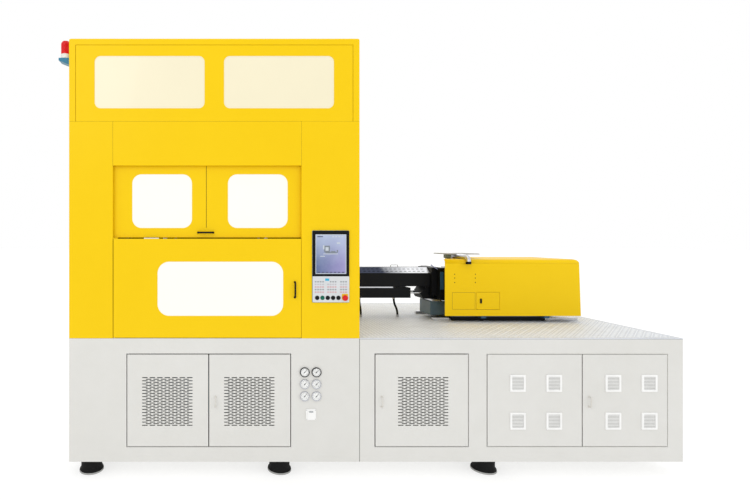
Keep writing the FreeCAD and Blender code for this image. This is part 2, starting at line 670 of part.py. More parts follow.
def beacon():
    """A wedge bracket on the tower's side with the lamp's base ring, and a fluted lens on it."""
    body = new_body((LEFT, f"{FRONT} + beacon_back - bracket_deep / 2", f"{DECK} + beacon_low"))
    side = sketch(body, "XZ_Plane")
    outline(side, [("0", "-bracket_root + bracket_high"), ("0", "bracket_high"),
                   ("-beacon_reach", "bracket_high"), ("-beacon_reach", "bracket_high - bracket_tip")])
    feature(body, "Pad", side, "bracket_deep", backwards=True)
    across, depth = f"{LEFT} - beacon_out", f"{FRONT} + beacon_back"
    top = f"{DECK} + beacon_low + bracket_high"
    ring = prism(LENS_FLUTES, "ring_radius", "ring_high", (across, depth, top))
    keep("beacon_bracket", join(body, ring))
    steps = (("lens_foot", "0", "lens_step"), ("lens_body", "lens_step", "lens_high - lens_step"),
             ("lens_crown", "lens_high - lens_step", "lens_high"))
    keep("beacon_lens", join(*[prism(LENS_FLUTES, radius, f"{end} - ({start})",
                                     (across, depth, f"{top} + ring_high + {start}"))
                               for radius, start, end in steps]))


# ---- clamp and index table -------------------------------------------------------------------------

TABLE_X = f"{LEFT} + table_from"
BARS = [(f"{TABLE_X} {a} bar_x", f"{MIDDLE} {b} bar_y") for a in "-+" for b in "-+"]
INJECT_X = f"{TABLE_X} + station"
BLOW_X = f"{TABLE_X} - station"


def bed_platen():
    """The machine bed with two slideways for the blow mould."""
    plate = box(("2 * bed_half", "2 * bed_side", "bed_high"),
                (f"{TABLE_X} - bed_half", f"{MIDDLE} - bed_side", DECK))
    ways = [box(("slide_long", "slide_wide", "slide_high"),
                (f"{TABLE_X} - bed_half + slide_end", f"{MIDDLE} {sign} slide_side - slide_wide / 2",
                 f"{DECK} + bed_high")) for sign in "-+"]
    keep("bed_platen", join(plate, *ways))


def tie_bars():
    keep("tie_bars", group(*[rod("bar_radius", "top_low + top_high - bed_high", (x, y, f"{DECK} + bed_high"))
                             for x, y in BARS]))


def top_platen():
    """The fixed head, carried on the tie bars' ends, with the clamp cylinder on it."""
    low = f"{DECK} + top_low"
    plate = box(("2 * top_half", "2 * top_side", "top_high"),
                (f"{TABLE_X} - top_half", f"{MIDDLE} - top_side", low))
    cylinder = rod("cylinder_radius", "cylinder_high", (TABLE_X, MIDDLE, f"{low} + top_high"))
    seats = [rod("bar_radius", "top_high", (x, y, low)) for x, y in BARS]
    bore = rod("ram_radius + bar_play", "top_high + cylinder_high - ram_room", (TABLE_X, MIDDLE, low))
    keep("top_platen", cut(join(plate, cylinder), *seats, bore))


def moving_platen():
    """The lifting platen: square bush housings on the tie bars, the ram and two square stroke cylinders
    above it, and the table's spindle below it."""
    low = f"{DECK} + moving_low"
    plate = box(("2 * top_half", "2 * top_side", "moving_high"),
                (f"{TABLE_X} - top_half", f"{MIDDLE} - top_side", low))
    bushes = [box(("2 * bush_half", "2 * bush_half", "bush_high"),
                  (f"{x} - bush_half", f"{y} - bush_half", f"{low} + moving_high")) for x, y in BARS]
    ram = rod("ram_radius", "ram_top - moving_low - moving_high", (TABLE_X, MIDDLE, f"{low} + moving_high"))
    spindle = rod("spindle_radius", "moving_low - spindle_low", (TABLE_X, MIDDLE, f"{DECK} + spindle_low"))
    collar = rod("collar_radius", "collar_high", (TABLE_X, MIDDLE, f"{DECK} + spindle_low"))
    strokes = [box(("2 * stroke_half", "2 * stroke_half", "stroke_high"),
                   (f"{x} - stroke_half", f"{MIDDLE} - stroke_half", f"{low} + moving_high"))
               for x in (INJECT_X, BLOW_X)]
    bores = [rod("bar_radius + bar_play", "moving_high + bush_high", (x, y, low)) for x, y in BARS]
    for x in (INJECT_X, BLOW_X):
        bores.append(rod("stroke_rod + bar_play", "moving_high + stroke_high - stroke_end", (x, MIDDLE, low)))
        bores += [rod("guide_radius + bar_play", "moving_high", (x, f"{MIDDLE} {sign} guide_side", low))
                  for sign in "-+"]
    keep("moving_platen", cut(join(plate, *bushes, ram, spindle, collar, *strokes), *bores))


def index_table():
    """The turning table: a disc on the spindle with a pair of neck-ring holes at each of four stations."""
    low = f"{DECK} + table_low"
    disc = rod("table_radius", "table_high", (TABLE_X, MIDDLE, low))
    hub = rod("hub_radius", "table_high + hub_high", (TABLE_X, MIDDLE, low))
    solid = [disc, hub]
    holes = [rod("spindle_radius + bar_play", "table_high + hub_high", (TABLE_X, MIDDLE, low))]
    for x, y in (("1", "0"), ("0", "1"), ("-1", "0"), ("0", "-1")):
        centre_x = f"{TABLE_X} + {x} * station"
        centre_y = f"{MIDDLE} + {y} * station"
        wide, long = ("neck_wide", "neck_long") if y == "0" else ("neck_long", "neck_wide")
        solid.append(box((wide, long, "neck_high"),
                         (f"{centre_x} - {wide} / 2", f"{centre_y} - {long} / 2", f"{low} - neck_high")))
        for sign in "-+":
            along = f"{sign} cavity_step"
            spot = (centre_x, f"{centre_y} {along}") if y == "0" else (f"{centre_x} {along}", centre_y)
            holes.append(rod("neck_radius", "neck_high + table_high", (*spot, f"{low} - neck_high")))
    keep("index_table", cut(join(*solid), *holes))


def stroke_plate(label, centre_x, tool_radius, bells=False):
    """A plate under the moving platen with two guide rods, a stroke rod and two long tools."""
    low = f"{DECK} + plate_low"
    top = f"{low} + plate_high"
    plate = box(("plate_wide", "plate_long", "plate_high"),
                (f"{centre_x} - plate_wide / 2", f"{MIDDLE} - plate_long / 2", low))
    rods = [rod("guide_radius", "guide_top - plate_low - plate_high",
                (centre_x, f"{MIDDLE} {sign} guide_side", top)) for sign in "-+"]
    rods.append(rod("stroke_rod", "stroke_top - plate_low - plate_high", (centre_x, MIDDLE, top)))
    for sign in "-+":
        spot = (centre_x, f"{MIDDLE} {sign} cavity_step")
        rods.append(rod(tool_radius, "core_long", (*spot, f"{low} - core_long")))
        if bells:
            rods.append(rod("bell_radius", "bell_long", (*spot, f"{low} - bell_long")))
    keep(label, join(plate, *rods))


def injection_mould():
    """Foot, hot runner and cavity block, with a nozzle seat facing the injection unit."""
    foot = box(("mould_wide", "mould_long", "block_low - bed_high"),
               (f"{INJECT_X} - mould_wide / 2", f"{MIDDLE} - mould_long / 2", f"{DECK} + bed_high"))
    block = box(("block_wide", "block_long", "mould_top - block_low"),
                (f"{INJECT_X} - block_wide / 2", f"{MIDDLE} - block_long / 2", f"{DECK} + block_low"))
    seat = rod("seat_radius", "seat_out",
               (f"{INJECT_X} + mould_wide / 2", MIDDLE, f"{DECK} + barrel_axis"), "x")
    cavities = [rod("cavity_radius", "cavity_deep",
                    (INJECT_X, f"{MIDDLE} {sign} cavity_step", f"{DECK} + mould_top - cavity_deep"))
                for sign in "-+"]
    keep("injection_mould", cut(join(foot, block, seat), *cavities))


def conditioning_pots():
    centre_y = f"{MIDDLE} + station"
    block = box(("pot_long", "pot_wide", "mould_top - pot_low"),
                (f"{TABLE_X} - pot_long / 2", f"{centre_y} - pot_wide / 2", f"{DECK} + pot_low"))
    foot = box(("pot_foot", "pot_foot", "pot_low - bed_high"),
               (f"{TABLE_X} - pot_foot / 2", f"{centre_y} - pot_foot / 2", f"{DECK} + bed_high"))
    pots = [rod("pot_radius", "pot_deep",
                (f"{TABLE_X} {sign} cavity_step", centre_y, f"{DECK} + mould_top - pot_deep"))
            for sign in "-+"]
    keep("conditioning_pots", cut(join(block, foot), *pots))


def blow_half(label, side):
    """One half of the blow mould on its carrier, open by its stroke, with half of each bottle in it."""
    face = f"{BLOW_X} {side} blow_open {side} parting"
    block_left = face if side == "+" else f"{face} - blow_wide"
    carrier_left = f"{face} + blow_wide - carrier_wide" if side == "+" else f"{face} - blow_wide"
    block = box(("blow_wide", "blow_long", "mould_top - blow_low"),
                (block_left, f"{MIDDLE} - blow_long / 2", f"{DECK} + blow_low"))
    carrier = box(("carrier_wide", "blow_long", "blow_low - bed_high - carrier_low"),
                  (carrier_left, f"{MIDDLE} - blow_long / 2", f"{DECK} + bed_high + carrier_low"))
    axis_x = f"{BLOW_X} {side} blow_open"
    tools = [box(("carrier_wide", "slide_wide + 2 * slide_play", "slide_high - carrier_low + slide_play"),
                 (carrier_left, f"{MIDDLE} {sign} slide_side - slide_wide / 2 - slide_play",
                  f"{DECK} + bed_high + carrier_low")) for sign in "-+"]
    for sign in "-+":
        spot = (axis_x, f"{MIDDLE} {sign} cavity_step")
        tools.append(rod("bottle_radius", "bottle_shoulder - bottle_foot", (*spot, f"{DECK} + bottle_foot")))
        tools.append(cone("bottle_radius", "bottle_mouth", "bottle_neck - bottle_shoulder",
                          (*spot, f"{DECK} + bottle_shoulder")))
        tools.append(rod("bottle_mouth", "mould_top - bottle_neck", (*spot, f"{DECK} + bottle_neck")))
    keep(label, cut(join(block, carrier), *tools))


# ---- injection unit --------------------------------------------------------------------------------

AXIS_Z = f"{DECK} + barrel_axis"
TIP_X = f"{INJECT_X} + mould_wide / 2 + seat_out + nozzle_gap"
HEATER_BANDS = 4
GUARD_SLOTS = 12


def barrel():
    """The barrel with its nozzle, heater bands and the feed block with the throat on top."""
    start = f"{TIP_X} + nozzle_long"
    pipe = rod("barrel_radius", f"{JOINT} + feed_from - ({start})", (start, MIDDLE, AXIS_Z), "x")
    nozzle = cone("barrel_tip", "barrel_radius", "nozzle_long", (TIP_X, MIDDLE, AXIS_Z), "x")
    bands = [rod("band_radius", "band_long", (f"{start} + band_from + {n} * band_step", MIDDLE, AXIS_Z), "x")
             for n in range(HEATER_BANDS)]
    feed = box(("2 * feed_half", "2 * feed_half", "feed_top - feed_low"),
               (f"{JOINT} + feed_from - feed_half", f"{MIDDLE} - feed_half", f"{DECK} + feed_low"))
    throat = box(("2 * throat_half", "2 * throat_half", "throat_top - feed_top"),
                 (f"{JOINT} + feed_from - throat_half", f"{MIDDLE} - throat_half", f"{DECK} + feed_top"))
    bore = rod("throat_bore", "throat_deep",
               (f"{JOINT} + feed_from", MIDDLE, f"{DECK} + throat_top - throat_deep"))
    keep("barrel", cut(join(pipe, nozzle, *bands, feed, throat), bore))


def hopper_flange():
    """The plate that a hopper bolts to, with a drain spout that turns down in front of the cover."""
    across = f"{JOINT} + feed_from"
    low = f"{DECK} + throat_top"
    plate = box(("2 * flange_half", "2 * flange_half", "flange_thick"),
                (f"{across} - flange_half", f"{MIDDLE} - flange_half", low))
    spout_x = f"{across} - spout_side"
    run = rod("spout_radius", "spout_reach - spout_start",
              (spout_x, f"{MIDDLE} - spout_start", f"{DECK} + spout_axis"), "-y")
    elbow = box(("2 * elbow_half", "2 * elbow_half", "2 * elbow_half"),
                (f"{spout_x} - elbow_half", f"{MIDDLE} - spout_reach - elbow_half",
                 f"{DECK} + spout_axis - elbow_half"))
    end = rod("spout_radius", "spout_axis - spout_end",
              (spout_x, f"{MIDDLE} - spout_reach", f"{DECK} + spout_end"))
    bore = rod("throat_bore", "flange_thick", (across, MIDDLE, low))
    bolts = [rod("flange_hole", "flange_thick",
                 (f"{across} {a} flange_bolt", f"{MIDDLE} {b} flange_bolt", low))
             for a in "-+" for b in "-+"]
    keep("hopper_flange", cut(join(plate, run, elbow, end), bore, *bolts))


def barrel_guard():
    """A folded guard over the barrel: upright sides, slotted shoulders, a crown and a wire handle."""
    body = new_body((f"{JOINT} + guard_from", MIDDLE, DECK))
    half = [("guard_side", "guard_low"), ("guard_side", "guard_shoulder"), ("guard_crown", "guard_top")]
    section = sketch(body, "YZ_Plane")
    outline(section, half + [(f"-{y}", z) for y, z in reversed(half)])
    feature(body, "Pad", section, "thrust_from - guard_from")
    inner = [("guard_side - guard_skin", "guard_low"),
             ("guard_side - guard_skin", "guard_shoulder - guard_skin / 2"),
             ("guard_crown - guard_skin / 2", "guard_top - guard_skin")]
    hollow = sketch(body, "YZ_Plane")
    outline(hollow, inner + [(f"-({y})", z) for y, z in reversed(inner)])
    feature(body, "Pocket", hollow, "thrust_from - guard_from", backwards=True)
    for rise in ("guard_shoulder + guard_row_one", "guard_shoulder + guard_row_two"):
        row = sketch(body, "XZ_Plane", "guard_side")
        for n in range(GUARD_SLOTS):
            rectangle(row, f"guard_slot_from + {n} * guard_pitch", rise, "guard_slot", "guard_slot_high")
        feature(body, "Pocket", row, "2 * guard_side")
    across = f"{JOINT} + wire_from"
    low = f"{DECK} + guard_top"
    wire = cut(box(("wire_long", "wire_bar", "wire_high"), (across, MIDDLE, low)),
               box(("wire_long - 2 * wire_bar", "wire_bar", "wire_high - wire_bar"),
                   (f"{across} + wire_bar", MIDDLE, low)))
    keep("barrel_guard", join(body, wire))


def cylinder_guard():
    """The closed guard of the two traverse cylinders, with a well for each rod."""
    block = box(("box_long", "2 * guard_side", "box_high"),
                (JOINT, f"{MIDDLE} - guard_side", f"{DECK} + box_low"))
    wells = [rod("traverse_radius + bar_play", "traverse_well",
                 (f"{JOINT} + box_long - traverse_well", f"{MIDDLE} {sign} traverse_side",
                  f"{DECK} + traverse_axis"), "x") for sign in "-+"]
    keep("cylinder_guard", cut(block, *wells))


def injection_drive():
    """Thrust plate with the lug of the traverse rods, injection cylinders, yoke and screw motor."""
    plate = box(("thrust_thick", "2 * thrust_side", "thrust_top - thrust_low"),
                (f"{JOINT} + thrust_from", f"{MIDDLE} - thrust_side", f"{DECK} + thrust_low"))
    lug = new_body((JOINT, f"{MIDDLE} - lug_side", DECK))
    side = sketch(lug, "XZ_Plane")
    outline(side, [("lug_from + lug_foot", "lug_low"), ("thrust_from", "lug_low"), ("thrust_from", "lug_top"),
                   ("lug_from + lug_head", "lug_top"), ("lug_from", "lug_mid")])
    feature(lug, "Pad", side, "2 * lug_side", backwards=True)
    rods = [rod("traverse_radius", "thrust_from - traverse_from",
                (f"{JOINT} + traverse_from", f"{MIDDLE} {sign} traverse_side",
                 f"{DECK} + traverse_axis"), "x")
            for sign in "-+"]
    rams = [rod("drive_radius", "drive_long + drive_from - thrust_from - thrust_thick",
                (f"{JOINT} + thrust_from + thrust_thick", f"{MIDDLE} {sign} drive_side", AXIS_Z), "x")
            for sign in "-+"]
    yoke_x = f"{JOINT} + drive_from + drive_long"
    yoke = box(("yoke_thick", "2 * (thrust_side + yoke_over)", "yoke_high"),
               (yoke_x, f"{MIDDLE} - thrust_side - yoke_over", f"{AXIS_Z} - yoke_high / 2"))
    motor = rod("motor_radius", "motor_long", (f"{yoke_x} + yoke_thick", MIDDLE, AXIS_Z), "x")
    shaft = rod("shaft_radius", "drive_from + drive_long - feed_from - feed_half",
                (f"{JOINT} + feed_from + feed_half", MIDDLE, AXIS_Z), "x")
    hole = rod("barrel_radius", "thrust_thick", (f"{JOINT} + thrust_from", MIDDLE, AXIS_Z), "x")
    keep("injection_drive", cut(join(plate, lug, *rods, *rams, yoke, motor, shaft), hole))


def unit_sled():
    """The unit's bed on four guide shoes, with the front support that carries the thrust plate."""
    plate = box(("bed_long", "2 * bed_wide", "sled_high"),
                (f"{JOINT} + bed_from", f"{MIDDLE} - bed_wide", f"{DECK} + sled_low"))
    support = box(("support_long", "2 * support_side", "support_top - support_low"),
                  (f"{JOINT} + support_from", f"{MIDDLE} - support_side", f"{DECK} + support_low"))
    top = box(("thrust_from + thrust_thick - support_from - support_step", "2 * support_side",
               "thrust_low - support_top"),
              (f"{JOINT} + support_from + support_step", f"{MIDDLE} - support_side", f"{DECK} + support_top"))
    pillar = box(("yoke_thick", "2 * thrust_side", "barrel_axis - yoke_high / 2 - sled_low - sled_high"),
                 (f"{JOINT} + drive_from + drive_long", f"{MIDDLE} - thrust_side",
                  f"{DECK} + sled_low + sled_high"))
    shoes, grooves = [], []
    for n in range(2):
        for sign in "-+":
            start = f"{JOINT} + shoe_first + {n} * shoe_step"
            shoes.append(box(("shoe_long", "shoe_wide", "sled_low - shoe_low"),
                             (start, f"{MIDDLE} {sign} track_side - shoe_wide / 2", f"{DECK} + shoe_low")))
            groove = ("shoe_long", "track_wide + 2 * shoe_play", "track_high + shoe_play - shoe_low")
            grooves.append(box(groove, (start, f"{MIDDLE} {sign} track_side - track_wide / 2 - shoe_play",
                                        f"{DECK} + shoe_low")))
    brackets = [box(("bracket_long", "cover_side - cover_skin - bed_wide", "sled_high + bracket_rise"),
                    (f"{JOINT} + bed_from + bracket_first + {n} * bracket_step", across,
                     f"{DECK} + sled_low"))
                for n in range(2)
                for across in (f"{MIDDLE} + bed_wide", f"{MIDDLE} - cover_side + cover_skin")]
    keep("unit_sled", cut(join(plate, support, top, pillar, *brackets, *shoes), *grooves))


def unit_rails():
    """Two flat guide rails on the deck."""
    rails = [box(("track_long", "track_wide", "track_high"),
                 (f"{JOINT} + track_from", f"{MIDDLE} {sign} track_side - track_wide / 2", DECK))
             for sign in "-+"]
    keep("unit_rails", group(*rails))


def injection_cover():
    """The folded cover over the injection unit: rounded along its top, open below, and open to the left
    along a slant that leaves the drive side bare."""
    body = new_body((f"{JOINT} + cover_from", f"{MIDDLE} - cover_side", f"{DECK} + cover_low"))
    side = sketch(body, "XZ_Plane")
    outline(side, [("0", "0"), ("cover_long", "0"), ("cover_long - cover_lean", "cover_high"),
                   ("0", "cover_high")])
    feature(body, "Pad", side, "2 * cover_side", backwards=True)
    top, end = size("cover_high"), size("cover_long")

    def upper_edge(edge):
        spots = [vertex.Point for vertex in edge.Vertexes]
        level = min(spot.z for spot in spots) > top - CLOSE
        return level and max(spot.x for spot in spots) > end / 2
    round_edges(body, "cover_round", upper_edge)
    inside = sketch(body, "XZ_Plane", "-cover_skin")
    outline(inside, [("-cover_skin", "-cover_skin"), ("cover_long - cover_skin", "-cover_skin"),
                     ("cover_long - cover_skin - cover_lean", "cover_high - cover_round"),
                     ("cover_long - cover_lean - cover_round", "cover_high - cover_skin"),
                     ("-cover_skin", "cover_high - cover_skin")])
    feature(body, "Pocket", inside, "2 * (cover_side - cover_skin)")
    hatch = sketch(body, "XZ_Plane")
    rectangle(hatch, "hatch_from - hatch_gap", "hatch_low - hatch_gap", "hatch_wide + 2 * hatch_gap",
              "hatch_high + 2 * hatch_gap")
    feature(body, "Pocket", hatch, "cover_skin")
    plate = sketch(body, "XZ_Plane")
    start = "hatch_from - hatch_wide - 4 * hatch_gap"
    rectangle(plate, start, "hatch_low", "hatch_wide", "hatch_high")
    rectangle(plate, f"{start} + plate_line", "hatch_low + plate_line", "hatch_wide - 2 * plate_line",
              "hatch_high - 2 * plate_line")
    feature(body, "Pocket", plate, "plate_deep")
    across = "(cover_from + hatch_from + hatch_wide - hatch_inset)"
    depth = f"{MIDDLE} - cover_side + hatch_inset"
    low = f"{DECK} + cover_low + hatch_low"
    lugs, pins = [], []
    for height, pin in ((f"{low} - hatch_gap - lug_block", f"{low} - hatch_gap - pin_end"),
                        (f"{low} + hatch_high + hatch_gap", f"{low} + hatch_high - hatch_hold + pin_end")):
        lugs.append(box(("lug_block", "lug_block - lug_back", "lug_block"),
                        (f"{JOINT} + {across} - lug_block / 2", f"{depth} - hatch_inset + lug_back", height)))
        pins.append(rod("hatch_pin", "hatch_hold + hatch_gap", (f"{JOINT} + {across}", depth, pin)))
    hole = rod("cover_hole", "3 * cover_round",
               (f"{JOINT} + feed_from", MIDDLE, f"{DECK} + cover_low + cover_high - 2 * cover_round"))
    slant = new_body((f"{JOINT} + cover_from", f"{MIDDLE} - cover_side", f"{DECK} + cover_low"))
    plan = sketch(slant, "XY_Plane")
    outline(plan, [("-cover_skin", "cover_skin"), ("0", "cover_skin"), ("cover_cut", "2 * cover_side"),
                   ("cover_cut", "2 * cover_side + cover_skin"),
                   ("-cover_skin", "2 * cover_side + cover_skin")])
    feature(slant, "Pad", plan, "cover_high + cover_skin")
    keep("injection_cover", join(cut(body, hole, slant), *lugs, *pins))


def cover_hatch():
    """The small hinged hatch in the cover's front, with its latch."""
    corner = (f"{JOINT} + cover_from + hatch_from", f"{MIDDLE} - cover_side",
              f"{DECK} + cover_low + hatch_low")
    body = new_body(corner)
    front = sketch(body, "XZ_Plane")
    rectangle(front, "0", "0", "hatch_wide", "hatch_high")
    feature(body, "Pad", front, "hatch_deep + hatch_inset / 2", backwards=True)
    across = "hatch_wide - hatch_inset"
    low = sketch(body, "XY_Plane")
    circle(low, across, "hatch_inset", "hatch_pin + pin_play")
    feature(body, "Pocket", low, "hatch_hold", backwards=True)
    top = sketch(body, "XY_Plane", "hatch_high")
    circle(top, across, "hatch_inset", "hatch_pin + pin_play")
    feature(body, "Pocket", top, "hatch_hold")
    latch = box(("latch_wide", "latch_out", "latch_high"),
                (f"{corner[0]} + latch_from", f"{corner[1]} - latch_out",
                 f"{corner[2]} + hatch_high / 2 - latch_high / 2"))
    keep("cover_hatch", join(body, latch))


# ---- hydraulics, switchgear, gauges, hoses ---------------------------------------------------------

def hydraulic_power_unit():
    """The oil tank with its motor and pump on top."""
    floor = "foot_height + wall"
    across, depth = f"{LEFT} + tank_from", f"{FRONT} + tank_back"
    tank = box(("tank_wide", "tank_deep", "tank_high"), (across, depth, floor))
    start, axis_y = f"{across} + pump_block", f"{depth} + tank_deep / 2"
    foot = box(("pump_long", "pump_block", "pump_block"),
               (start, f"{axis_y} - pump_block / 2", f"{floor} + tank_high"))
    motor = rod("pump_radius", "pump_long", (start, axis_y, f"{floor} + tank_high + pump_axis"), "x")
    pump = box(("pump_block", "pump_block", "pump_block"),
               (f"{start} + pump_long", f"{axis_y} - pump_block / 2",
                f"{floor} + tank_high + pump_axis - pump_block / 2"))
    keep("hydraulic_power_unit", join(tank, foot, motor, pump))


def switchgear():
    """A mounting plate with three drive cases."""
    low = "foot_height + wall"
    across, depth = f"{JOINT} + switch_from", f"{FRONT} + switch_back"
    plate = box(("switch_wide", "switch_thick", "switch_high"), (across, depth, low))
    drives = [box(("drive_wide", "drive_deep", "drive_high"),
                  (f"{across} + {n} * drive_step + drive_first", f"{depth} - drive_deep",
                   f"{low} + drive_foot"))
              for n in range(3)]
    keep("switchgear", join(plate, *drives))


def pressure_gauges():
    """Six dial gauges: a rim, a sunk dial and a pointer from lower left to upper right."""
    gauges = []
    for column in range(2):
        for line in range(3):
            centre = (f"{LEFT} + gauge_from + {column} * gauge_step", FRONT,
                      f"foot_height + gauge_low + {line} * gauge_rise")
            case = cut(rod("gauge_radius", "gauge_out", centre, "-y"),
                       rod("gauge_rim", "gauge_sunk", (centre[0], f"{FRONT} - gauge_out", centre[2]), "y"))
            shift = f"(pointer_long - pointer_wide) / 2 * {math.sqrt(0.5)}"
            rise = f"(pointer_long + pointer_wide) / 2 * {math.sqrt(0.5)}"
            pointer = box(("pointer_long", "pointer_high", "pointer_wide"),
                          (f"{centre[0]} - {shift}", f"{FRONT} - gauge_out + gauge_sunk - pointer_high",
                           f"{centre[2]} - {rise}"))
            pointer.Placement.Rotation = FreeCAD.Rotation(FreeCAD.Vector(0, -1, 0), 45)
            gauges.append(join(case, pointer))
    keep("pressure_gauges", group(*gauges))


def rounded_path(points):
    """Straight runs through the points with a tangent arc at each turn, as large as its runs allow."""
    edges, start = [], points[0]
    for before, corner, after in zip(points, points[1:], points[2:]):
        back, ahead = before - corner, after - corner
        half = back.getAngle(ahead) / 2
        reach = 0.45 * min(back.Length, ahead.Length)
        back.normalize()
        ahead.normalize()
        radius = reach * math.tan(half)
        print("hose bend radius", round(radius, 1))
        middle = back + ahead
        middle.normalize()
        top = corner + middle * (radius / math.sin(half) - radius)
        enter, leave = corner + back * reach, corner + ahead * reach
        edges.append(Part.LineSegment(start, enter).toShape())
        edges.append(Part.Arc(enter, top, leave).toShape())
        start = leave
    edges.append(Part.LineSegment(start, points[-1]).toShape())
    return Part.Wire(edges)


def hoses():
    """Two hoses from the cylinder guard down to the deck, each with its own sway."""
    joint = (size("beacon_reach") - size("tower_width") - size("right_length")) / 2 + size("tower_width")
    middle = size("front_reach") / 2
    deck = size("foot_height") + size("base_height")
    drop, radius = size("box_low"), size("hose_radius")
    sides = 8
    area = sides / 2 * radius ** 2 * math.sin(2 * math.pi / sides)
    tubes = []
    for start, sway in (("hose_one", "hose_one_sway"), ("hose_two", "hose_two_sway")):
        route = [(0, 1), (0, 0.68), (1, 0.33), (1, 0)]
        points = [FreeCAD.Vector(joint + size(start) + size(sway) * x, middle, deck + drop * z)
                  for x, z in route]
        path = rounded_path(points)
        corners = [points[0] + FreeCAD.Vector(radius * math.cos(turn), radius * math.sin(turn), 0)
                   for turn in (2 * math.pi * n / sides for n in range(sides + 1))]
        tube = path.makePipeShell([Part.makePolygon(corners)], True, False)
        print("hose volume", round(tube.Volume / (area * path.Length), 4))
        tubes.append(tube)
    pair = doc.addObject("Part::Feature", "hoses")
    pair.Shape = Part.Compound(tubes)
    keep("feed_hoses", pair)


# ---- build, check and write --------------------------------------------------------------------------

doc.recompute()
hydraulic_base()
electric_base()
deck_plate()
levelling_feet()
base_doors()
tower_cap()
top_windows()
tower_fronts()
tower_sides()
tower_posts()
gate()
gate_rails()
lower_door()
door_pins()
control_panel()
buttons()
beacon()
bed_platen()
tie_bars()
top_platen()
moving_platen()
index_table()
stroke_plate("core_plate", INJECT_X, "core_radius")
stroke_plate("stretch_unit", BLOW_X, "stretch_radius", bells=True)
injection_mould()
conditioning_pots()
blow_half("blow_mould_inner", "+")
blow_half("blow_mould_outer", "-")
barrel()
hopper_flange()
barrel_guard()
cylinder_guard()
injection_drive()
unit_sled()
unit_rails()
injection_cover()
cover_hatch()
hydraulic_power_unit()
switchgear()
pressure_gauges()
hoses()
doc.recompute()

for thing in doc.Objects:
    if {"Invalid", "Error"} & set(thing.State):
        raise RuntimeError(f"{thing.Label} is {thing.State}")
for part in parts:
    if part.Shape.isNull() or not part.Shape.isValid() or not part.Shape.Solids:
        raise RuntimeError(f"{part.Label} has no valid shape")
os.makedirs("parts", exist_ok=True)
whole = FreeCAD.BoundBox()
volume = 0
for part in parts:
    whole.add(part.Shape.BoundBox)
    volume += part.Shape.Volume
    part.Shape.exportStep(f"parts/{part.Label}.step")
print(len(parts), "sub-parts;", "box", whole, "; volume in cubic metres", round(volume / 1e9, 3))
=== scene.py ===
# %% [markdown]
# # A one-stage blow moulding machine
#
# The real machine is a guarded tower on a cabinet, with an injection unit on a tread-plate deck beside it.
# Its sizes are settled already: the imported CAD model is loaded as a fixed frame, and everything below
# dresses that frame. Pieces whose outline is right become rounded copies of the CAD solids, and pieces that
# need more are built in its place.

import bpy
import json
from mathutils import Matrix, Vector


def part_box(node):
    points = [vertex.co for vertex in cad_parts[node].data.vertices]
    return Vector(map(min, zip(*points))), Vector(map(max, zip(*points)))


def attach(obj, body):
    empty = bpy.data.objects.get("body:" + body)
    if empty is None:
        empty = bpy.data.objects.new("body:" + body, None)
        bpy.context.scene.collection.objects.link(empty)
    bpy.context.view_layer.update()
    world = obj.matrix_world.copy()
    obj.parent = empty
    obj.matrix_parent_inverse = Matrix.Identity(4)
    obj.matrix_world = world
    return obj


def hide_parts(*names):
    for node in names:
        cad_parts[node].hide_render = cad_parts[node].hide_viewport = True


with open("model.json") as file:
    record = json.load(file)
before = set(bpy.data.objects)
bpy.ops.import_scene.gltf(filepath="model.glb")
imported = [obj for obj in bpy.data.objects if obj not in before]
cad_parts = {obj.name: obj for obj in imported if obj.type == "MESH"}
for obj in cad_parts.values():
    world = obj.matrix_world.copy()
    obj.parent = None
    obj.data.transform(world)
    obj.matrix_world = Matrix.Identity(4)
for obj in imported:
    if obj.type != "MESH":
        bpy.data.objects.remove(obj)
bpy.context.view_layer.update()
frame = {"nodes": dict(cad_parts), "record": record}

# %% Modules that the lesson uses
import json
import math

import bmesh
import bpy
from mathutils import Matrix, Vector

MM = 0.001
QUARTER = math.radians(90)
FRAME_BODY = "machine_frame"

# %% [markdown]
# ## Camera and light
#
# The photograph looks straight at the front from about four metres, with its vanishing point on the tower,
# not in the middle of the picture. A camera that faces the front squarely, with a lens shift, gives the
# same view and keeps every upright and level line straight. A turned camera would make the panels converge.

# %% Camera at the photograph's viewing angle
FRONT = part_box("electric_base")[0].y
VIEW_DISTANCE = 3.9
VIEW_WIDTH = 6.375
VIEW_ACROSS, VIEW_HEIGHT = -1.2425, 2.006
PICTURE = (750, 500)
VANISHING = (224, 240)

lens = bpy.data.cameras.new("lens")
lens.sensor_width = 36
lens.lens = lens.sensor_width * VIEW_DISTANCE / VIEW_WIDTH
lens.shift_x = (PICTURE[0] / 2 - VANISHING[0]) / PICTURE[0]
lens.shift_y = (VANISHING[1] - PICTURE[1] / 2) / PICTURE[0]
lens.clip_end = 200
camera = bpy.data.objects.new("camera", lens)
camera.location = (VIEW_ACROSS, FRONT - VIEW_DISTANCE, VIEW_HEIGHT)
camera.rotation_euler = (QUARTER, 0, 0)
bpy.context.collection.objects.link(camera)
bpy.context.scene.camera = camera
print("lens", round(lens.lens, 2), "mm, shift", round(lens.shift_x, 3), round(lens.shift_y, 3))

# %% [markdown]
# A studio product shot has one broad key light, a weaker fill and a bright, even surround. Large area
# lights give the soft edges of shadow that such a picture has, and a nearly white world fills what they
# leave.

# %% Lights and surround
def softbox(name, place, aim, size, power):
    """A large square area light turned towards a point."""
    light = bpy.data.lights.new(name, "AREA")
    light.size = size
    light.energy = power
    lamp = bpy.data.objects.new(name, light)
    lamp.location = place
    lamp.rotation_euler = (Vector(aim) - Vector(place)).to_track_quat("-Z", "Y").to_euler()
    bpy.context.collection.objects.link(lamp)


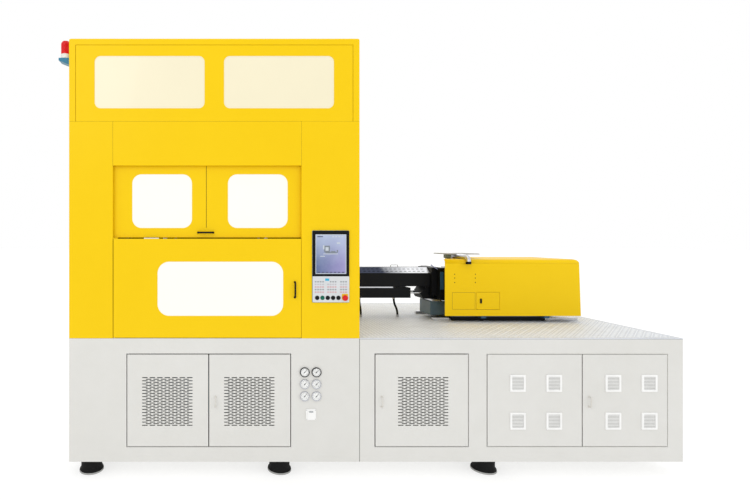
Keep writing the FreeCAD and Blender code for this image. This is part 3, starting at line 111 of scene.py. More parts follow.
softbox("key", (-5.5, -7.5, 6.5), (-0.5, 0, 1.5), 5, 102)
softbox("fill", (6.5, -6.5, 4.5), (0.5, 0, 1.5), 5, 37)
softbox("top", (0.5, 0.5, 8.5), (0.5, 0, 0), 6, 56)
softbox("back", (3, 8.5, 5.5), (0, 0, 1.5), 5, 82)

surround = bpy.data.worlds.new("surround")
surround.use_nodes = True
surround.node_tree.nodes["Background"].inputs["Color"].default_value = (1, 1, 1, 1)
surround.node_tree.nodes["Background"].inputs["Strength"].default_value = 1.0
bpy.context.scene.world = surround
bpy.context.scene.view_settings.view_transform = "Standard"

# %% [markdown]
# ## Shader sums in Python
#
# A procedural finish is arithmetic on patterns. One small class wraps a node's output, so that `1 - mask`
# or `grain * 0.2` adds the Math nodes by itself. Every other node comes from `Finish.node`, which sets a
# node's own options first and then its sockets.

# %% A value that takes part in sums
class Value:
    """One output of a shader node."""

    def __init__(self, finish, socket):
        self.finish = finish
        self.socket = socket

    def combine(self, operation, other, reflected=False):
        pair = (other, self) if reflected else (self, other)
        return self.finish.node("ShaderNodeMath", {"operation": operation}, dict(enumerate(pair)))

    def __add__(self, other):
        return self.combine("ADD", other)

    def __radd__(self, other):
        return self.combine("ADD", other, True)

    def __sub__(self, other):
        return self.combine("SUBTRACT", other)

    def __rsub__(self, other):
        return self.combine("SUBTRACT", other, True)

    def __mul__(self, other):
        return self.combine("MULTIPLY", other)

    def __rmul__(self, other):
        return self.combine("MULTIPLY", other, True)


# %% A finish under construction
class Finish:
    """A material with a Principled shader, and the few calls that add to it."""

    def __init__(self, name, **constants):
        self.material = bpy.data.materials.new(name)
        self.material.use_nodes = True
        self.tree = self.material.node_tree
        self.shader = self.tree.nodes["Principled BSDF"]
        for socket, value in constants.items():
            self.shader.inputs[socket.replace("_", " ")].default_value = value
        self.place = self.node("ShaderNodeTexCoord", out="Object")
        self.height = None

    def node(self, kind, settings=None, inputs=None, out=0):
        made = self.tree.nodes.new(kind)
        for option, choice in (settings or {}).items():
            setattr(made, option, choice)
        for socket, value in (inputs or {}).items():
            if isinstance(value, Value):
                self.tree.links.new(value.socket, made.inputs[socket])
            else:
                made.inputs[socket].default_value = value
        return Value(self, made.outputs[out])

    def noise(self, scale, detail=2, stretch=(1, 1, 1), roughness=0.5):
        """Cloudy pattern from 0 to 1; scale counts its patches in a metre."""
        place = self.place
        if stretch != (1, 1, 1):
            place = self.node("ShaderNodeMapping", inputs={"Vector": place, "Scale": stretch})
        return self.node("ShaderNodeTexNoise", inputs={
            "Vector": place, "Scale": scale, "Detail": detail, "Roughness": roughness})

    def part(self, axis):
        """One coordinate of the object space, in metres."""
        return self.node("ShaderNodeSeparateXYZ", inputs={0: self.place}, out=axis)

    def facing_up(self):
        """How far the surface faces the sky, from -1 to 1."""
        normal = self.node("ShaderNodeNewGeometry", out="Normal")
        return self.node("ShaderNodeSeparateXYZ", inputs={0: normal}, out="Z")

    def band(self, value, start, end):
        """0 below start, 1 above end, and a straight slope between them."""
        return self.node("ShaderNodeMapRange", {"clamp": True}, {
            "Value": value, "From Min": start, "From Max": end})

    def mix(self, factor, first, second):
        """A blend of two colours."""
        inputs = {0: factor}
        for socket, colour in ((6, first), (7, second)):
            inputs[socket] = colour if isinstance(colour, Value) else (*colour, 1)
        return self.node("ShaderNodeMix", {"data_type": "RGBA", "clamp_factor": True}, inputs, out=2)

    def feed(self, socket, value):
        self.tree.links.new(value.socket, self.shader.inputs[socket])

    def bump(self, height, distance, strength=1.0):
        """Adds one layer of fine relief under the ones before it."""
        inputs = {"Height": height, "Distance": distance, "Strength": strength}
        if self.height is not None:
            inputs["Normal"] = self.height
        self.height = self.node("ShaderNodeBump", inputs=inputs)
        self.feed("Normal", self.height)


# %% [markdown]
# ## Paints
#
# The panels are powder coated: the colour is even, with a faint cloudiness from the thickness of the coat,
# a fine orange-peel skin and a few rubbed patches that shine more. Dust lies on what faces up. All of it
# comes from noise in the object's own coordinates, so it keeps its scale on every panel.

# %% Powder coat
DUST = (0.55, 0.53, 0.5)


def powder_coat(name, colour, shade, rough=(0.34, 0.46), peel=420, dust=0.12, coat=0.12, gloss=0.25):
    paint = Finish(name, Coat_Roughness=0.22, Specular_IOR_Level=gloss)
    cloud = paint.noise(1.1, 3)
    patch = paint.noise(7, 4, roughness=0.6)
    tone = paint.mix(paint.band(cloud * 0.6 + patch * 0.4, 0.32, 0.7), shade, colour)
    specks = paint.band(paint.noise(260, 2), 0.74, 0.8)
    tone = paint.mix(specks * 0.25, tone, tuple(part * 0.7 for part in shade))
    lying = paint.band(paint.facing_up(), 0.55, 0.95) * paint.band(patch, 0.35, 0.75) * dust
    paint.feed("Base Color", paint.mix(lying, tone, DUST))
    low, high = rough
    paint.feed("Roughness", low + (high - low) * paint.noise(5, 4) + lying * 0.5)
    paint.feed("Coat Weight", coat * (1 - lying))
    paint.bump(paint.noise(peel, 1), 0.00012, 0.5)
    paint.bump(paint.noise(2.2, 2), 0.0012, 0.35)
    return paint.material


YELLOW = powder_coat("yellow powder coat", (0.855, 0.57, 0.002), (0.835, 0.55, 0.001), dust=0.04, coat=0.05,
                     gloss=0.12)
GREY = powder_coat("light grey textured coat", (0.695, 0.69, 0.665), (0.655, 0.65, 0.62), (0.5, 0.62), 900,
                   dust=0.2, coat=0.03)
BLACK = powder_coat("black satin coat", (0.006, 0.0065, 0.008), (0.004, 0.0045, 0.006), (0.4, 0.55), 700,
                    dust=0.1, coat=0, gloss=0.12)
BLUE = powder_coat("blue machine enamel", (0.03, 0.1, 0.19), (0.02, 0.07, 0.14), (0.28, 0.42), 300, 0.3, 0.15)
SLATE = powder_coat("blue-grey machine enamel", (0.095, 0.15, 0.185), (0.06, 0.1, 0.13), (0.3, 0.44), 300,
                    dust=0.35, coat=0.15)
TEAL = powder_coat("teal enamel", (0.025, 0.2, 0.33), (0.018, 0.15, 0.25), (0.3, 0.42), 300, 0.1, 0.15)
PALE_BLUE = powder_coat("pale blue enamel", (0.3, 0.34, 0.6), (0.22, 0.26, 0.5), (0.3, 0.42), 300, 0.2, 0.15)
GREEN_GREY = powder_coat("green-grey primer", (0.14, 0.17, 0.15), (0.1, 0.13, 0.11), (0.4, 0.55), 500,
                         dust=0.3, coat=0.05)
# Painted shade for the groove round the cover's blank plate.
GROOVE_SHADE = powder_coat("painted groove shade", (0.22, 0.15, 0.01), (0.16, 0.11, 0.01), (0.5, 0.6), 500, 0.1, 0)
print("paints ready")

# %% [markdown]
# ## Metals
#
# Machined steel shows the path of its tool, so its roughness and relief are noise stretched along one axis.
# The tread plate is rolled and walked on: bright on its raised bars and dull between them.

# %% Metals
def machined(name, colour, stretch, rough=(0.22, 0.38), stain=0.15, metallic=1.0):
    metal = Finish(name, Metallic=metallic)
    lines = metal.noise(60, 3, stretch)
    cloud = metal.noise(6, 4)
    dark = tuple(part * 0.72 for part in colour)
    metal.feed("Base Color", metal.mix(metal.band(cloud, 0.45, 0.8) * stain + lines * 0.2, colour, dark))
    low, high = rough
    metal.feed("Roughness", low + (high - low) * (lines * 0.6 + cloud * 0.4))
    metal.bump(lines, 0.00006, 0.5)
    return metal.material


STEEL = machined("machined steel", (0.5, 0.5, 0.52), (1, 1, 14))
GROUND = machined("ground mould steel", (0.62, 0.62, 0.64), (12, 1, 1), (0.16, 0.3))
CHROME = machined("hard chrome", (0.72, 0.73, 0.75), (14, 1, 1), (0.06, 0.14), 0.05)
SILVER = machined("brushed sheet", (0.6, 0.61, 0.65), (0.4, 8, 8), (0.26, 0.4))
GALVANISED = machined("galvanised channel", (0.42, 0.43, 0.44), (1, 1, 6), (0.3, 0.46), 0.3)
PULL_METAL = machined("dull nickel", (0.34, 0.34, 0.33), (1, 1, 9), (0.25, 0.4), 0.3)
TREAD = machined("rolled tread plate", (0.66, 0.69, 0.74), (1, 1, 1), (0.5, 0.66), 0.4, 0.2)
TREAD_BAR = machined("worn tread bars", (0.94, 0.97, 1.0), (1, 1, 1), (0.4, 0.55), 0.1, 0.3)
DUSTY_STEEL = machined("dusty zinc plate", (0.4, 0.4, 0.39), (1, 1, 4), (0.42, 0.6), 0.4, 0.6)


def painted_shade_sheet(name, start, end):
    """Brushed sheet with painted shade: dark blue-black at one end, bright at the other; start and end are
    lengths along X.
    """
    sheet = Finish(name, Metallic=1.0)
    lines = sheet.noise(60, 3, (0.4, 8, 8))
    cloud = sheet.noise(5, 3)
    # Painted shade: the sheet turns dark blue-black towards its low X end, where shade falls on it.
    along = sheet.band(sheet.part("X") + cloud * 0.2 - 0.1, start, end)
    tone = sheet.mix(along, (0.02, 0.026, 0.05), (0.84, 0.85, 0.87))
    sheet.feed("Base Color", sheet.mix(lines * 0.12, tone, (0.2, 0.22, 0.3)))
    sheet.feed("Roughness", 0.26 + 0.16 * (lines * 0.6 + cloud * 0.4))
    sheet.bump(lines, 0.00006, 0.5)
    return sheet.material


SHADE_END_SHEET = painted_shade_sheet("brushed sheet with painted shade", 0.42, 0.74)
print("metals ready")

# %% [markdown]
# ## Plastics, rubber and panes
#
# The panes are milky sheet that looks evenly bright. A little emission paints that glow on, with no lamp
# behind them, and a soft cloudiness keeps the sheet from looking like paper.

# %% Plastics and rubber
def moulded(name, colour, rough=(0.3, 0.42), grain=1500, relief=0.00005, **constants):
    plastic = Finish(name, **constants)
    cloud = plastic.noise(14, 3)
    shade = tuple(part * 0.86 for part in colour)
    plastic.feed("Base Color", plastic.mix(cloud, shade, colour))
    low, high = rough
    plastic.feed("Roughness", low + (high - low) * plastic.noise(40, 3))
    plastic.bump(plastic.noise(grain, 1), relief, 0.6)
    return plastic.material


BLACK_PLASTIC = moulded("black handle plastic", (0.006, 0.006, 0.007), (0.42, 0.55), 1800,
                         Specular_IOR_Level=0.15)
PALE_PLASTIC = moulded("pale panel plastic", (0.66, 0.68, 0.7), (0.35, 0.45))
WHITE_PLASTIC = moulded("white plastic", (0.92, 0.92, 0.91), (0.25, 0.36))
NYLON = moulded("natural nylon", (0.76, 0.76, 0.7), (0.4, 0.5))
PULL_COAT = moulded("pale pull coat", (0.68, 0.66, 0.61), (0.25, 0.36))
RED_PLASTIC = moulded("red button plastic", (0.66, 0.006, 0.006), (0.3, 0.4), Specular_IOR_Level=0.3)
GREEN_PLASTIC = moulded("green button plastic", (0.004, 0.13, 0.08), (0.3, 0.4), Specular_IOR_Level=0.2)
KEY_GREY = moulded("grey key print", (0.3, 0.32, 0.34), (0.4, 0.5))
KEY_PALE = moulded("pale key print", (0.5, 0.48, 0.52), (0.4, 0.5))
KEY_CYAN = moulded("cyan key print", (0.02, 0.42, 0.66), (0.4, 0.5))
KEY_PINK = moulded("pink key print", (0.62, 0.34, 0.36), (0.4, 0.5))
RUBBER = moulded("black rubber", (0.006, 0.006, 0.006), (0.6, 0.8), 600, 0.0002, Specular_IOR_Level=0.15)
SIGNAL_YELLOW = moulded("yellow legend plate", (0.84, 0.52, 0.01), (0.3, 0.4), Specular_IOR_Level=0.25)
# Painted shade for the dark lines in the panel joints.
SEAM_SHADE = moulded("painted seam shade", (0.02, 0.017, 0.01), (0.5, 0.65), 400, 0.0002, Specular_IOR_Level=0.1)
SCREEN_TRIM = moulded("pale screen trim", (0.55, 0.6, 0.66), (0.3, 0.4))
SCREEN_GREY = moulded("grey screen field", (0.2, 0.23, 0.27), (0.3, 0.4))
SCREEN_DARK = moulded("dark screen field", (0.06, 0.07, 0.13), (0.3, 0.4))
INK = moulded("dial print", (0.01, 0.01, 0.01), (0.5, 0.6), Specular_IOR_Level=0.1)
FILTER = moulded("filter mat", (0.56, 0.56, 0.54), (0.8, 0.95), 260, 0.0012)
LENS_RED = moulded("red lens", (0.64, 0.003, 0.006), (0.16, 0.24), 900, 0.00003, Specular_IOR_Level=0.25,
                   Transmission_Weight=0.1, Emission_Color=(0.9, 0.004, 0.01, 1), Emission_Strength=0.1)
GLASS = moulded("dial glass", (0.95, 0.97, 0.97), (0.02, 0.06), 300, 0.00001,
                Transmission_Weight=1.0, IOR=1.02, Alpha=0.25)


# %% Milky panes with a painted glow
def painted_glow_pane(name, colour, glow):
    sheet = Finish(name, Roughness=0.3, Coat_Weight=0.3, Emission_Strength=glow)
    cloud = sheet.noise(1.6, 2)
    tone = sheet.mix(cloud, tuple(part * 0.94 for part in colour), colour)
    sheet.feed("Base Color", tone)
    # Painted glow: the pane emits its own colour although no lamp is behind it.
    sheet.feed("Emission Color", tone)
    sheet.bump(sheet.noise(3, 1), 0.0006, 0.3)
    return sheet.material


CREAM_PANE = painted_glow_pane("cream milky sheet with painted glow", (0.7, 0.645, 0.465), 0.24)
WHITE_PANE = painted_glow_pane("white milky sheet with painted glow", (0.73, 0.715, 0.665), 0.32)
print("plastics and panes ready")

# %% [markdown]
# ## Mesh helpers
#
# Most sheet-metal pieces are a flat outline with openings, given a thickness, and most round ones are a
# turned profile. The helpers below make just those from bmesh operators. `piece` then closes the mesh,
# rounds its edges and its shading, and puts it on its body.

# %% Finish a mesh as a piece
def shade(thing, angle=32):
    """Soft shading across curves, crisp at real edges, flat on wide faces."""
    thing.data.shade_smooth()
    thing.data.set_sharp_from_angle(angle=math.radians(angle))
    keep_flat = thing.modifiers.new("flat faces", "WEIGHTED_NORMAL")
    keep_flat.keep_sharp = True


def piece(name, shape, body, finish, slot=None, replaces=(), rounding=0.0, segments=2):
    """A bmesh as an object on a body; rounding is in millimetres."""
    bmesh.ops.remove_doubles(shape, verts=shape.verts, dist=1e-6)
    bmesh.ops.recalc_face_normals(shape, faces=shape.faces)
    mesh = bpy.data.meshes.new(name)
    shape.to_mesh(mesh)
    shape.free()
    mesh.materials.append(finish)
    thing = bpy.data.objects.new(name, mesh)
    bpy.context.collection.objects.link(thing)
    if rounding:
        bevel = thing.modifiers.new("rounded edges", "BEVEL")
        bevel.width = rounding * MM
        bevel.segments = segments
        bevel.limit_method = "ANGLE"
        bevel.angle_limit = math.radians(40)
    shade(thing)
    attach(thing, body)
    if replaces:
        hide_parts(*replaces)
    return thing


def give_wall(thing, thickness):
    """Turns a single sheet into one with a wall."""
    wall = thing.modifiers.new("sheet", "SOLIDIFY")
    wall.thickness = thickness
    wall.offset = 0


# %% Blocks
def block(shape, low, high):
    """A box between two corners; piece rounds it."""
    low, high = Vector(low), Vector(high)
    fit = Matrix.Translation((low + high) / 2) @ Matrix.Diagonal((*(high - low), 1))
    return bmesh.ops.create_cube(shape, size=1, matrix=fit)["verts"]


def slab(shape, origin, x, y, z):
    """A box by its reach along each axis, in millimetres from a point."""
    low, high = zip(x, y, z)
    return block(shape, origin + Vector(low) * MM, origin + Vector(high) * MM)


def blocks(name, origin, reaches, body, finish, slot, **look):
    """A piece made of slabs."""
    shape = bmesh.new()
    for reach in reaches:
        slab(shape, origin, *reach)
    return piece(name, shape, body, finish, slot, **look)

# %% Loops and sheets
def rounded_loop(shape, centre, wide, high, radius, steps=4, depth=0.0):
    """A rounded rectangle of edges in an upright plane, from a circle pulled apart."""
    ring = bmesh.ops.create_circle(shape, cap_ends=False, segments=4 * steps, radius=radius)["verts"]
    bmesh.ops.rotate(shape, verts=ring, cent=(0, 0, 0), matrix=Matrix.Rotation(QUARTER / 2 / steps, 3, "Z"))
    for vert in ring:
        across = math.copysign(wide / 2 - radius, vert.co.x) + vert.co.x
        up = math.copysign(high / 2 - radius, vert.co.y) + vert.co.y
        vert.co = Vector((centre[0] + across, depth, centre[1] + up))
    return ring


def round_hole(shape, centre, radius, depth, steps=32):
    """A circle of edges in an upright plane."""
    place = Matrix.Translation((centre[0], depth, centre[1])) @ Matrix.Rotation(QUARTER, 4, "X")
    ring = bmesh.ops.create_circle(shape, cap_ends=False, segments=steps, radius=radius, matrix=place)
    return ring["verts"]


def filled(shape, verts):
    """Fills the flat region between loops, leaving the inner ones open."""
    chosen = set(verts)
    edges = [edge for edge in shape.edges if set(edge.verts) <= chosen]
    made = bmesh.ops.triangle_fill(shape, use_beauty=True, use_dissolve=False, edges=edges)
    return [item for item in made["geom"] if isinstance(item, bmesh.types.BMFace)]


def thicken(shape, faces, along):
    """Gives flat faces a thickness in one direction."""
    grown = bmesh.ops.extrude_face_region(shape, geom=faces, use_keep_orig=True)["geom"]
    moved = [item for item in grown if isinstance(item, bmesh.types.BMVert)]
    bmesh.ops.translate(shape, verts=moved, vec=along)
    return moved


def cut_sheet(shape, corners, along):
    """A flat outline with a thickness in one direction."""
    thicken(shape, [shape.faces.new([shape.verts.new(corner) for corner in corners])], along)


def grow(shape, ring, centre, steps):
    """Extrudes a loop step by step; a step is how far it draws in towards the centre and moves back."""
    chosen = set(ring)
    edges = [edge for edge in shape.edges if set(edge.verts) <= chosen and len(edge.link_faces) < 2]
    for inset, back in steps:
        grown = bmesh.ops.extrude_edge_only(shape, edges=edges)["geom"]
        chosen = {item for item in grown if isinstance(item, bmesh.types.BMVert)}
        edges = [item for item in grown if isinstance(item, bmesh.types.BMEdge) and set(item.verts) <= chosen]
        for vert in chosen:
            vert.co.x -= math.copysign(inset, vert.co.x - centre[0])
            vert.co.z -= math.copysign(inset, vert.co.z - centre[1])
            vert.co.y += back
    return list(chosen)


def plate(shape, centre, wide, high, radius, depth, thick, holes=(), steps=4):
    """A flat plate in an upright plane; holes are loops made with the other helpers."""
    outer = rounded_loop(shape, centre, wide, high, radius, steps, depth)
    return thicken(shape, filled(shape, outer + list(holes)), (0, thick, 0))


# %% Turned shapes and bent bars
AXES = {"Z": Matrix.Identity(4), "-Y": Matrix.Rotation(QUARTER, 4, "X"),
        "X": Matrix.Rotation(QUARTER, 4, "Y")}
BEND_STEPS = 5


def turned(shape, profile, centre, axis="Z", steps=32):
    """Spins a profile of (radius, height) points in millimetres round an axis through a centre."""
    points = [shape.verts.new((radius * MM, 0, height * MM)) for radius, height in profile]
    edges = [shape.edges.new(pair) for pair in zip(points, points[1:])]
    bmesh.ops.spin(shape, geom=points + edges, cent=(0, 0, 0), axis=(0, 0, 1), angle=2 * math.pi,
                   steps=steps, use_merge=True, use_duplicate=False)
    found, grow_from = set(points), list(points)
    while grow_from:
        for edge in grow_from.pop().link_edges:
            for vert in edge.verts:
                if vert not in found:
                    found.add(vert)
                    grow_from.append(vert)
    bmesh.ops.transform(shape, matrix=Matrix.Translation(centre) @ AXES[axis], verts=list(found))


def disc(radius, low, high, edge=1.0):
    """The profile of a plain turned disc with a small chamfer at its top."""
    return [(0, low), (radius, low), (radius, high - edge), (radius - edge, high), (0, high)]


def swept_bar(shape, start, heading, moves, radius, sides=16):
    """A round bar that runs straight and turns; a move is a length, or an axis and a bend radius."""
    heading = Vector(heading)
    ring = bmesh.ops.create_circle(shape, cap_ends=True, segments=sides, radius=radius)["verts"]
    turn = heading.to_track_quat("Z", "Y").to_matrix().to_4x4()
    bmesh.ops.transform(shape, matrix=Matrix.Translation(start) @ turn, verts=ring)
    face = ring[0].link_faces[0]
    for move in moves:
        if isinstance(move, (int, float)):
            face = bmesh.ops.extrude_discrete_faces(shape, faces=[face])["faces"][0]
            bmesh.ops.translate(shape, verts=face.verts, vec=heading * move)
            continue
        axis, bend = Vector(move[0]), move[1]
        centre = face.calc_center_median() + axis.cross(heading) * bend
        for _ in range(BEND_STEPS):
            face = bmesh.ops.extrude_discrete_faces(shape, faces=[face])["faces"][0]
            bmesh.ops.rotate(shape, verts=face.verts, cent=centre,
                             matrix=Matrix.Rotation(QUARTER / BEND_STEPS, 3, axis))
        heading = Matrix.Rotation(QUARTER, 3, axis) @ heading


def bow(shape, start, out, along, reach, length, radius, bend=None):
    """A bow handle: a bar that leaves a plate, turns, runs along it and turns back."""
    bend = bend or 2.2 * radius
    turn = (Vector(out).cross(Vector(along)), bend)
    swept_bar(shape, start, out, [reach - bend, turn, length - 2 * bend, turn, reach - bend], radius)

# %% [markdown]
# ## Rounded copies of the CAD solids
#
# Sheet metal and castings have no knife edges, and it's the small light along a rounded edge that makes a
# surface look real. A CAD node's mesh is left alone, so the copy is merged, its flat faces are joined
# again, and a bevel modifier rounds its edges.

# %% Dress a CAD node
def dressed(node, finish, rounding=1.5):
    """A rounded copy of a CAD node that stands for it."""
    shape = bmesh.new()
    shape.from_mesh(frame["nodes"][node].data)
    bmesh.ops.remove_doubles(shape, verts=shape.verts, dist=2e-6)
    bmesh.ops.dissolve_limit(shape, angle_limit=math.radians(0.5), use_dissolve_boundaries=False,
                             verts=shape.verts, edges=shape.edges, delimit={"NORMAL"})
    for face in shape.faces:
        face.material_index = 0
    body = next(name for name, nodes in frame["record"]["behaviour"]["bodies"].items() if node in nodes)
    return piece(node + "_dressed", shape, body, finish, None, (node,), rounding)


DRESSED = {
    "tower_cap": (YELLOW, 1.5), "top_window_panel": (YELLOW, 2), "header_panel": (YELLOW, 2),
    "front_panel_left": (YELLOW, 2), "front_panel_right": (YELLOW, 2), "tower_side_left": (YELLOW, 2),
    "tower_side_right": (YELLOW, 2), "tower_rear": (YELLOW, 2), "upper_gate": (YELLOW, 2),
    "lower_door": (YELLOW, 2), "injection_cover": (YELLOW, 1), "cover_hatch": (YELLOW, 1),
    "hydraulic_base": (GREY, 2.5), "electric_base": (GREY, 2.5), "tower_posts": (GREY, 3),
    "top_windows": (CREAM_PANE, 1), "gate_windows": (WHITE_PANE, 1), "lower_door_window": (WHITE_PANE, 1),
    "gate_rails": (GALVANISED, 1), "tie_bars": (CHROME, 2), "unit_rails": (GROUND, 1.5),
    "bed_platen": (GROUND, 2.5), "top_platen": (BLUE, 2.5), "moving_platen": (GROUND, 2.5),
    "index_table": (GROUND, 1.5), "core_plate": (GROUND, 1.5), "stretch_unit": (GROUND, 1.5),
    "injection_mould": (STEEL, 1.5), "conditioning_pots": (STEEL, 1.5), "blow_mould_inner": (GROUND, 1.5),
    "blow_mould_outer": (GROUND, 1.5), "barrel": (STEEL, 1.5), "cylinder_guard": (BLACK, 2),
    "door_hinge_pins": (STEEL, 0.5), "deck_plate": (TREAD, 1), "push_button_1": (BLACK_PLASTIC, 1),
    "push_button_2": (GREEN_PLASTIC, 1), "push_button_3": (BLACK_PLASTIC, 1),
    "push_button_4": (BLACK_PLASTIC, 1), "push_button_5": (BLACK_PLASTIC, 1),
}
for node, (finish, rounding) in DRESSED.items():
    dressed(node, finish, rounding)
print("dressed", len(DRESSED), "nodes")

# %% Lines that the machine is built on
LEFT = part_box("hydraulic_base")[0].x
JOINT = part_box("hydraulic_base")[1].x
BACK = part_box("hydraulic_base")[1].y
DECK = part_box("hydraulic_base")[1].z
MIDDLE = (FRONT + BACK) / 2
HEADER_LOW, HEADER_HIGH = (corner.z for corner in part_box("header_panel"))
OPENING_LEFT, OPENING_RIGHT = (corner.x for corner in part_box("header_panel"))
UNIT = Vector((JOINT, MIDDLE, DECK))


def on_unit(x, y, z):
    """A point in millimetres from the deck's left end, which the injection unit is measured from."""
    return UNIT + Vector((x, y, z)) * MM

# %% [markdown]
# ## Seams
#
# The fixed fronts are screwed side by side, and each joint shows as a thin dark line. That line is painted
# shade: a slim dark bar lies just under the surface, between the rounded edges, where the gap's shadow
# falls, and all the bars are one piece.

# %% Painted seam shade between the fixed fronts
SEAM_SHADE_WIDTH = 3.6 * MM
END_GAP = 2 * MM


def seam_shade_bar(shape, start, end, depth=FRONT + 0.5 * MM, deep=3 * MM):
    """A slim dark bar of painted seam shade in the front plane between two points (x, z)."""
    grow_x, grow_z = (0, SEAM_SHADE_WIDTH / 2) if start[1] == end[1] else (SEAM_SHADE_WIDTH / 2, 0)
    block(shape, (start[0] - grow_x, depth, start[1] - grow_z),
          (end[0] + grow_x, depth + deep, end[1] + grow_z))


seam_shade_bars = bmesh.new()
for across in (OPENING_LEFT, OPENING_RIGHT):
    seam_shade_bar(seam_shade_bars, (across, HEADER_LOW), (across, HEADER_HIGH))
seam_shade_bar(seam_shade_bars, (LEFT + END_GAP, HEADER_HIGH), (JOINT - END_GAP, HEADER_HIGH))
seam_shade_bar(seam_shade_bars, (LEFT + END_GAP, DECK), (OPENING_LEFT, DECK))
seam_shade_bar(seam_shade_bars, (OPENING_RIGHT, DECK), (JOINT - END_GAP, DECK))
seam_shade_bar(seam_shade_bars, (JOINT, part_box("electric_base")[0].z + 3 * MM), (JOINT, DECK - 4 * MM), FRONT + 0.15 * MM)
deck_low, deck_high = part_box("deck_plate")
seam_shade_bar(seam_shade_bars, (JOINT + 4 * MM, deck_low.z), (deck_high.x - END_GAP, deck_low.z))
piece("painted_seam_shade", seam_shade_bars, FRAME_BODY, SEAM_SHADE, "black_paint")

gate_low, gate_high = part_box("upper_gate")
GATE_SEAM = gate_low.x + 818 * MM
SEAM_FOOT = gate_low.z + 85 * MM
# The gate's split is a line of painted shade too: a slim dark bar down the gate.
seam = bmesh.new()
seam_shade_bar(seam, (GATE_SEAM, SEAM_FOOT), (GATE_SEAM, gate_high.z), gate_low.y + 0.2 * MM, 1.2 * MM)
piece("gate_painted_seam_shade", seam, "gate", SEAM_SHADE, "black_paint")
print("gate seam at", round(GATE_SEAM, 3))

# %% [markdown]
# A short pale strip lies on the lower door's top edge, just under the gate.

# %% Pale strip
door_low, door_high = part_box("lower_door")
blocks("door_pale_strip", Vector((door_low.x, FRONT, door_high.z)), [((259, 387), (1, 22), (0, 7.5))],
       "swing_door", NYLON, "panel_plastic", rounding=1)

# %% [markdown]
# ## Cabinet doors with punched slots
#
# Each slotted door is one sheet with rows of seven slots and rows of six between them, punched 13.5 mm
# apart. A texture could fake the slots, but the dark room behind them has to show, and the sheet's own
# edge. So every slot is a loop in one flat sheet. The sheet is filled round the loops, its outer loop grows
# back into the folded rim, and the slots grow back through the sheet's thickness.

# %% A folded front
SKIN = 3 * MM
RIM = 24 * MM
FOLD = 2.2 * MM


def folded_front(shape, low, high, openings=()):
    """A skin with rounded edges, a folded rim behind it, and openings through it."""
    middle = ((low.x + high.x) / 2, (low.z + high.z) / 2)
    wide, tall, deep = high.x - low.x, high.z - low.z, high.y - low.y
    ring = rounded_loop(shape, middle, wide - 2 * FOLD, tall - 2 * FOLD, 2 * MM, 2, low.y)
    filled(shape, ring + list(openings))
    rim = grow(shape, ring, middle, [(-0.7 * FOLD, 0.3 * FOLD), (-0.3 * FOLD, 0.7 * FOLD), (0, deep - FOLD),
                                     (RIM, 0), (0, SKIN - deep)])
    through = grow(shape, openings, middle, [(0, SKIN)]) if openings else []
    filled(shape, rim + through)


# %% Slots in staggered rows
SLOT = Vector((48, 8.6)) * MM
SLOT_PITCH = 63.6 * MM
ROW_RISE = 13.5 * MM
ROWS = 31
GRILLE_LOW = 181 * MM
GRILLE_LEFT = {"hydraulic_door_left": 152, "hydraulic_door_right": 152, "centre_door": 217}


def slots(shape, left, bottom, depth):
    """Loops of staggered slots; left and bottom are the middle of the first one."""
    verts = []
    for row in range(ROWS):
        count, shift = (7, 0) if row % 2 == 0 else (6, SLOT_PITCH / 2)
        for column in range(count):
            centre = (left + shift + column * SLOT_PITCH, bottom + row * ROW_RISE)
            verts += rounded_loop(shape, centre, SLOT.x, SLOT.y, SLOT.y / 2 - 0.1 * MM, 2, depth)
    return verts


def door_box(node):
    """The flat front of a base door: its box without the pull and the filters."""
    low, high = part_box(node)
    low.y = FRONT
    return low, high


for node, left in GRILLE_LEFT.items():
    low, high = door_box(node)
    leaf = bmesh.new()
    folded_front(leaf, low, high, slots(leaf, low.x + left * MM, low.z + GRILLE_LOW, FRONT))
    piece(node + "_sheet", leaf, node + "_leaf", GREY, "grey_paint", (node,))
print("slots in a door:", sum(7 - row % 2 for row in range(ROWS)))

# %% [markdown]
# ## Doors with filter frames
#
# The other pair of doors carries eight white filter frames. Each is a moulded surround with a rounded front
# and slats across it, and a pale mat shows between the slats. The surround is one loop grown step by step:
# up from the door, over its rounded front, and down again inside.

# %% Filter doors
FILTER_SIZE = Vector((132, 9, 144)) * MM
FILTER_STEP = Vector((308, 321)) * MM
FILTER_FROM = Vector((192, 146)) * MM
MAT_REACH = ((14, 118), (-2.4, 0), (14, 130))
SLATS = 9
SLAT_FROM, SLAT_STEP = 20 * MM, 12.2 * MM
SLAT_END = 15 * MM
SLAT_SIZE = Vector((FILTER_SIZE.x - 2 * SLAT_END, 2.6 * MM, 4.6 * MM))


def filter_frame(shape, corner):
    """Surround and slats of one filter, its lower left corner on the door's face."""
    wide, out, tall = FILTER_SIZE
    middle = (corner.x + wide / 2, corner.z + tall / 2)
    ring = rounded_loop(shape, middle, wide, tall, 5 * MM, 3, corner.y)
    inside = grow(shape, ring, middle, [(0, -0.7 * out), (0.8 * MM, -0.2 * out), (2.2 * MM, -0.1 * out),
                                        (12 * MM, 0), (1.5 * MM, 0.15 * out), (0, 0.85 * out)])
    filled(shape, ring + inside)
    for slat in range(SLATS):
        low = corner + Vector((SLAT_END, -0.62 * out, SLAT_FROM + slat * SLAT_STEP))
        block(shape, low, low + SLAT_SIZE)


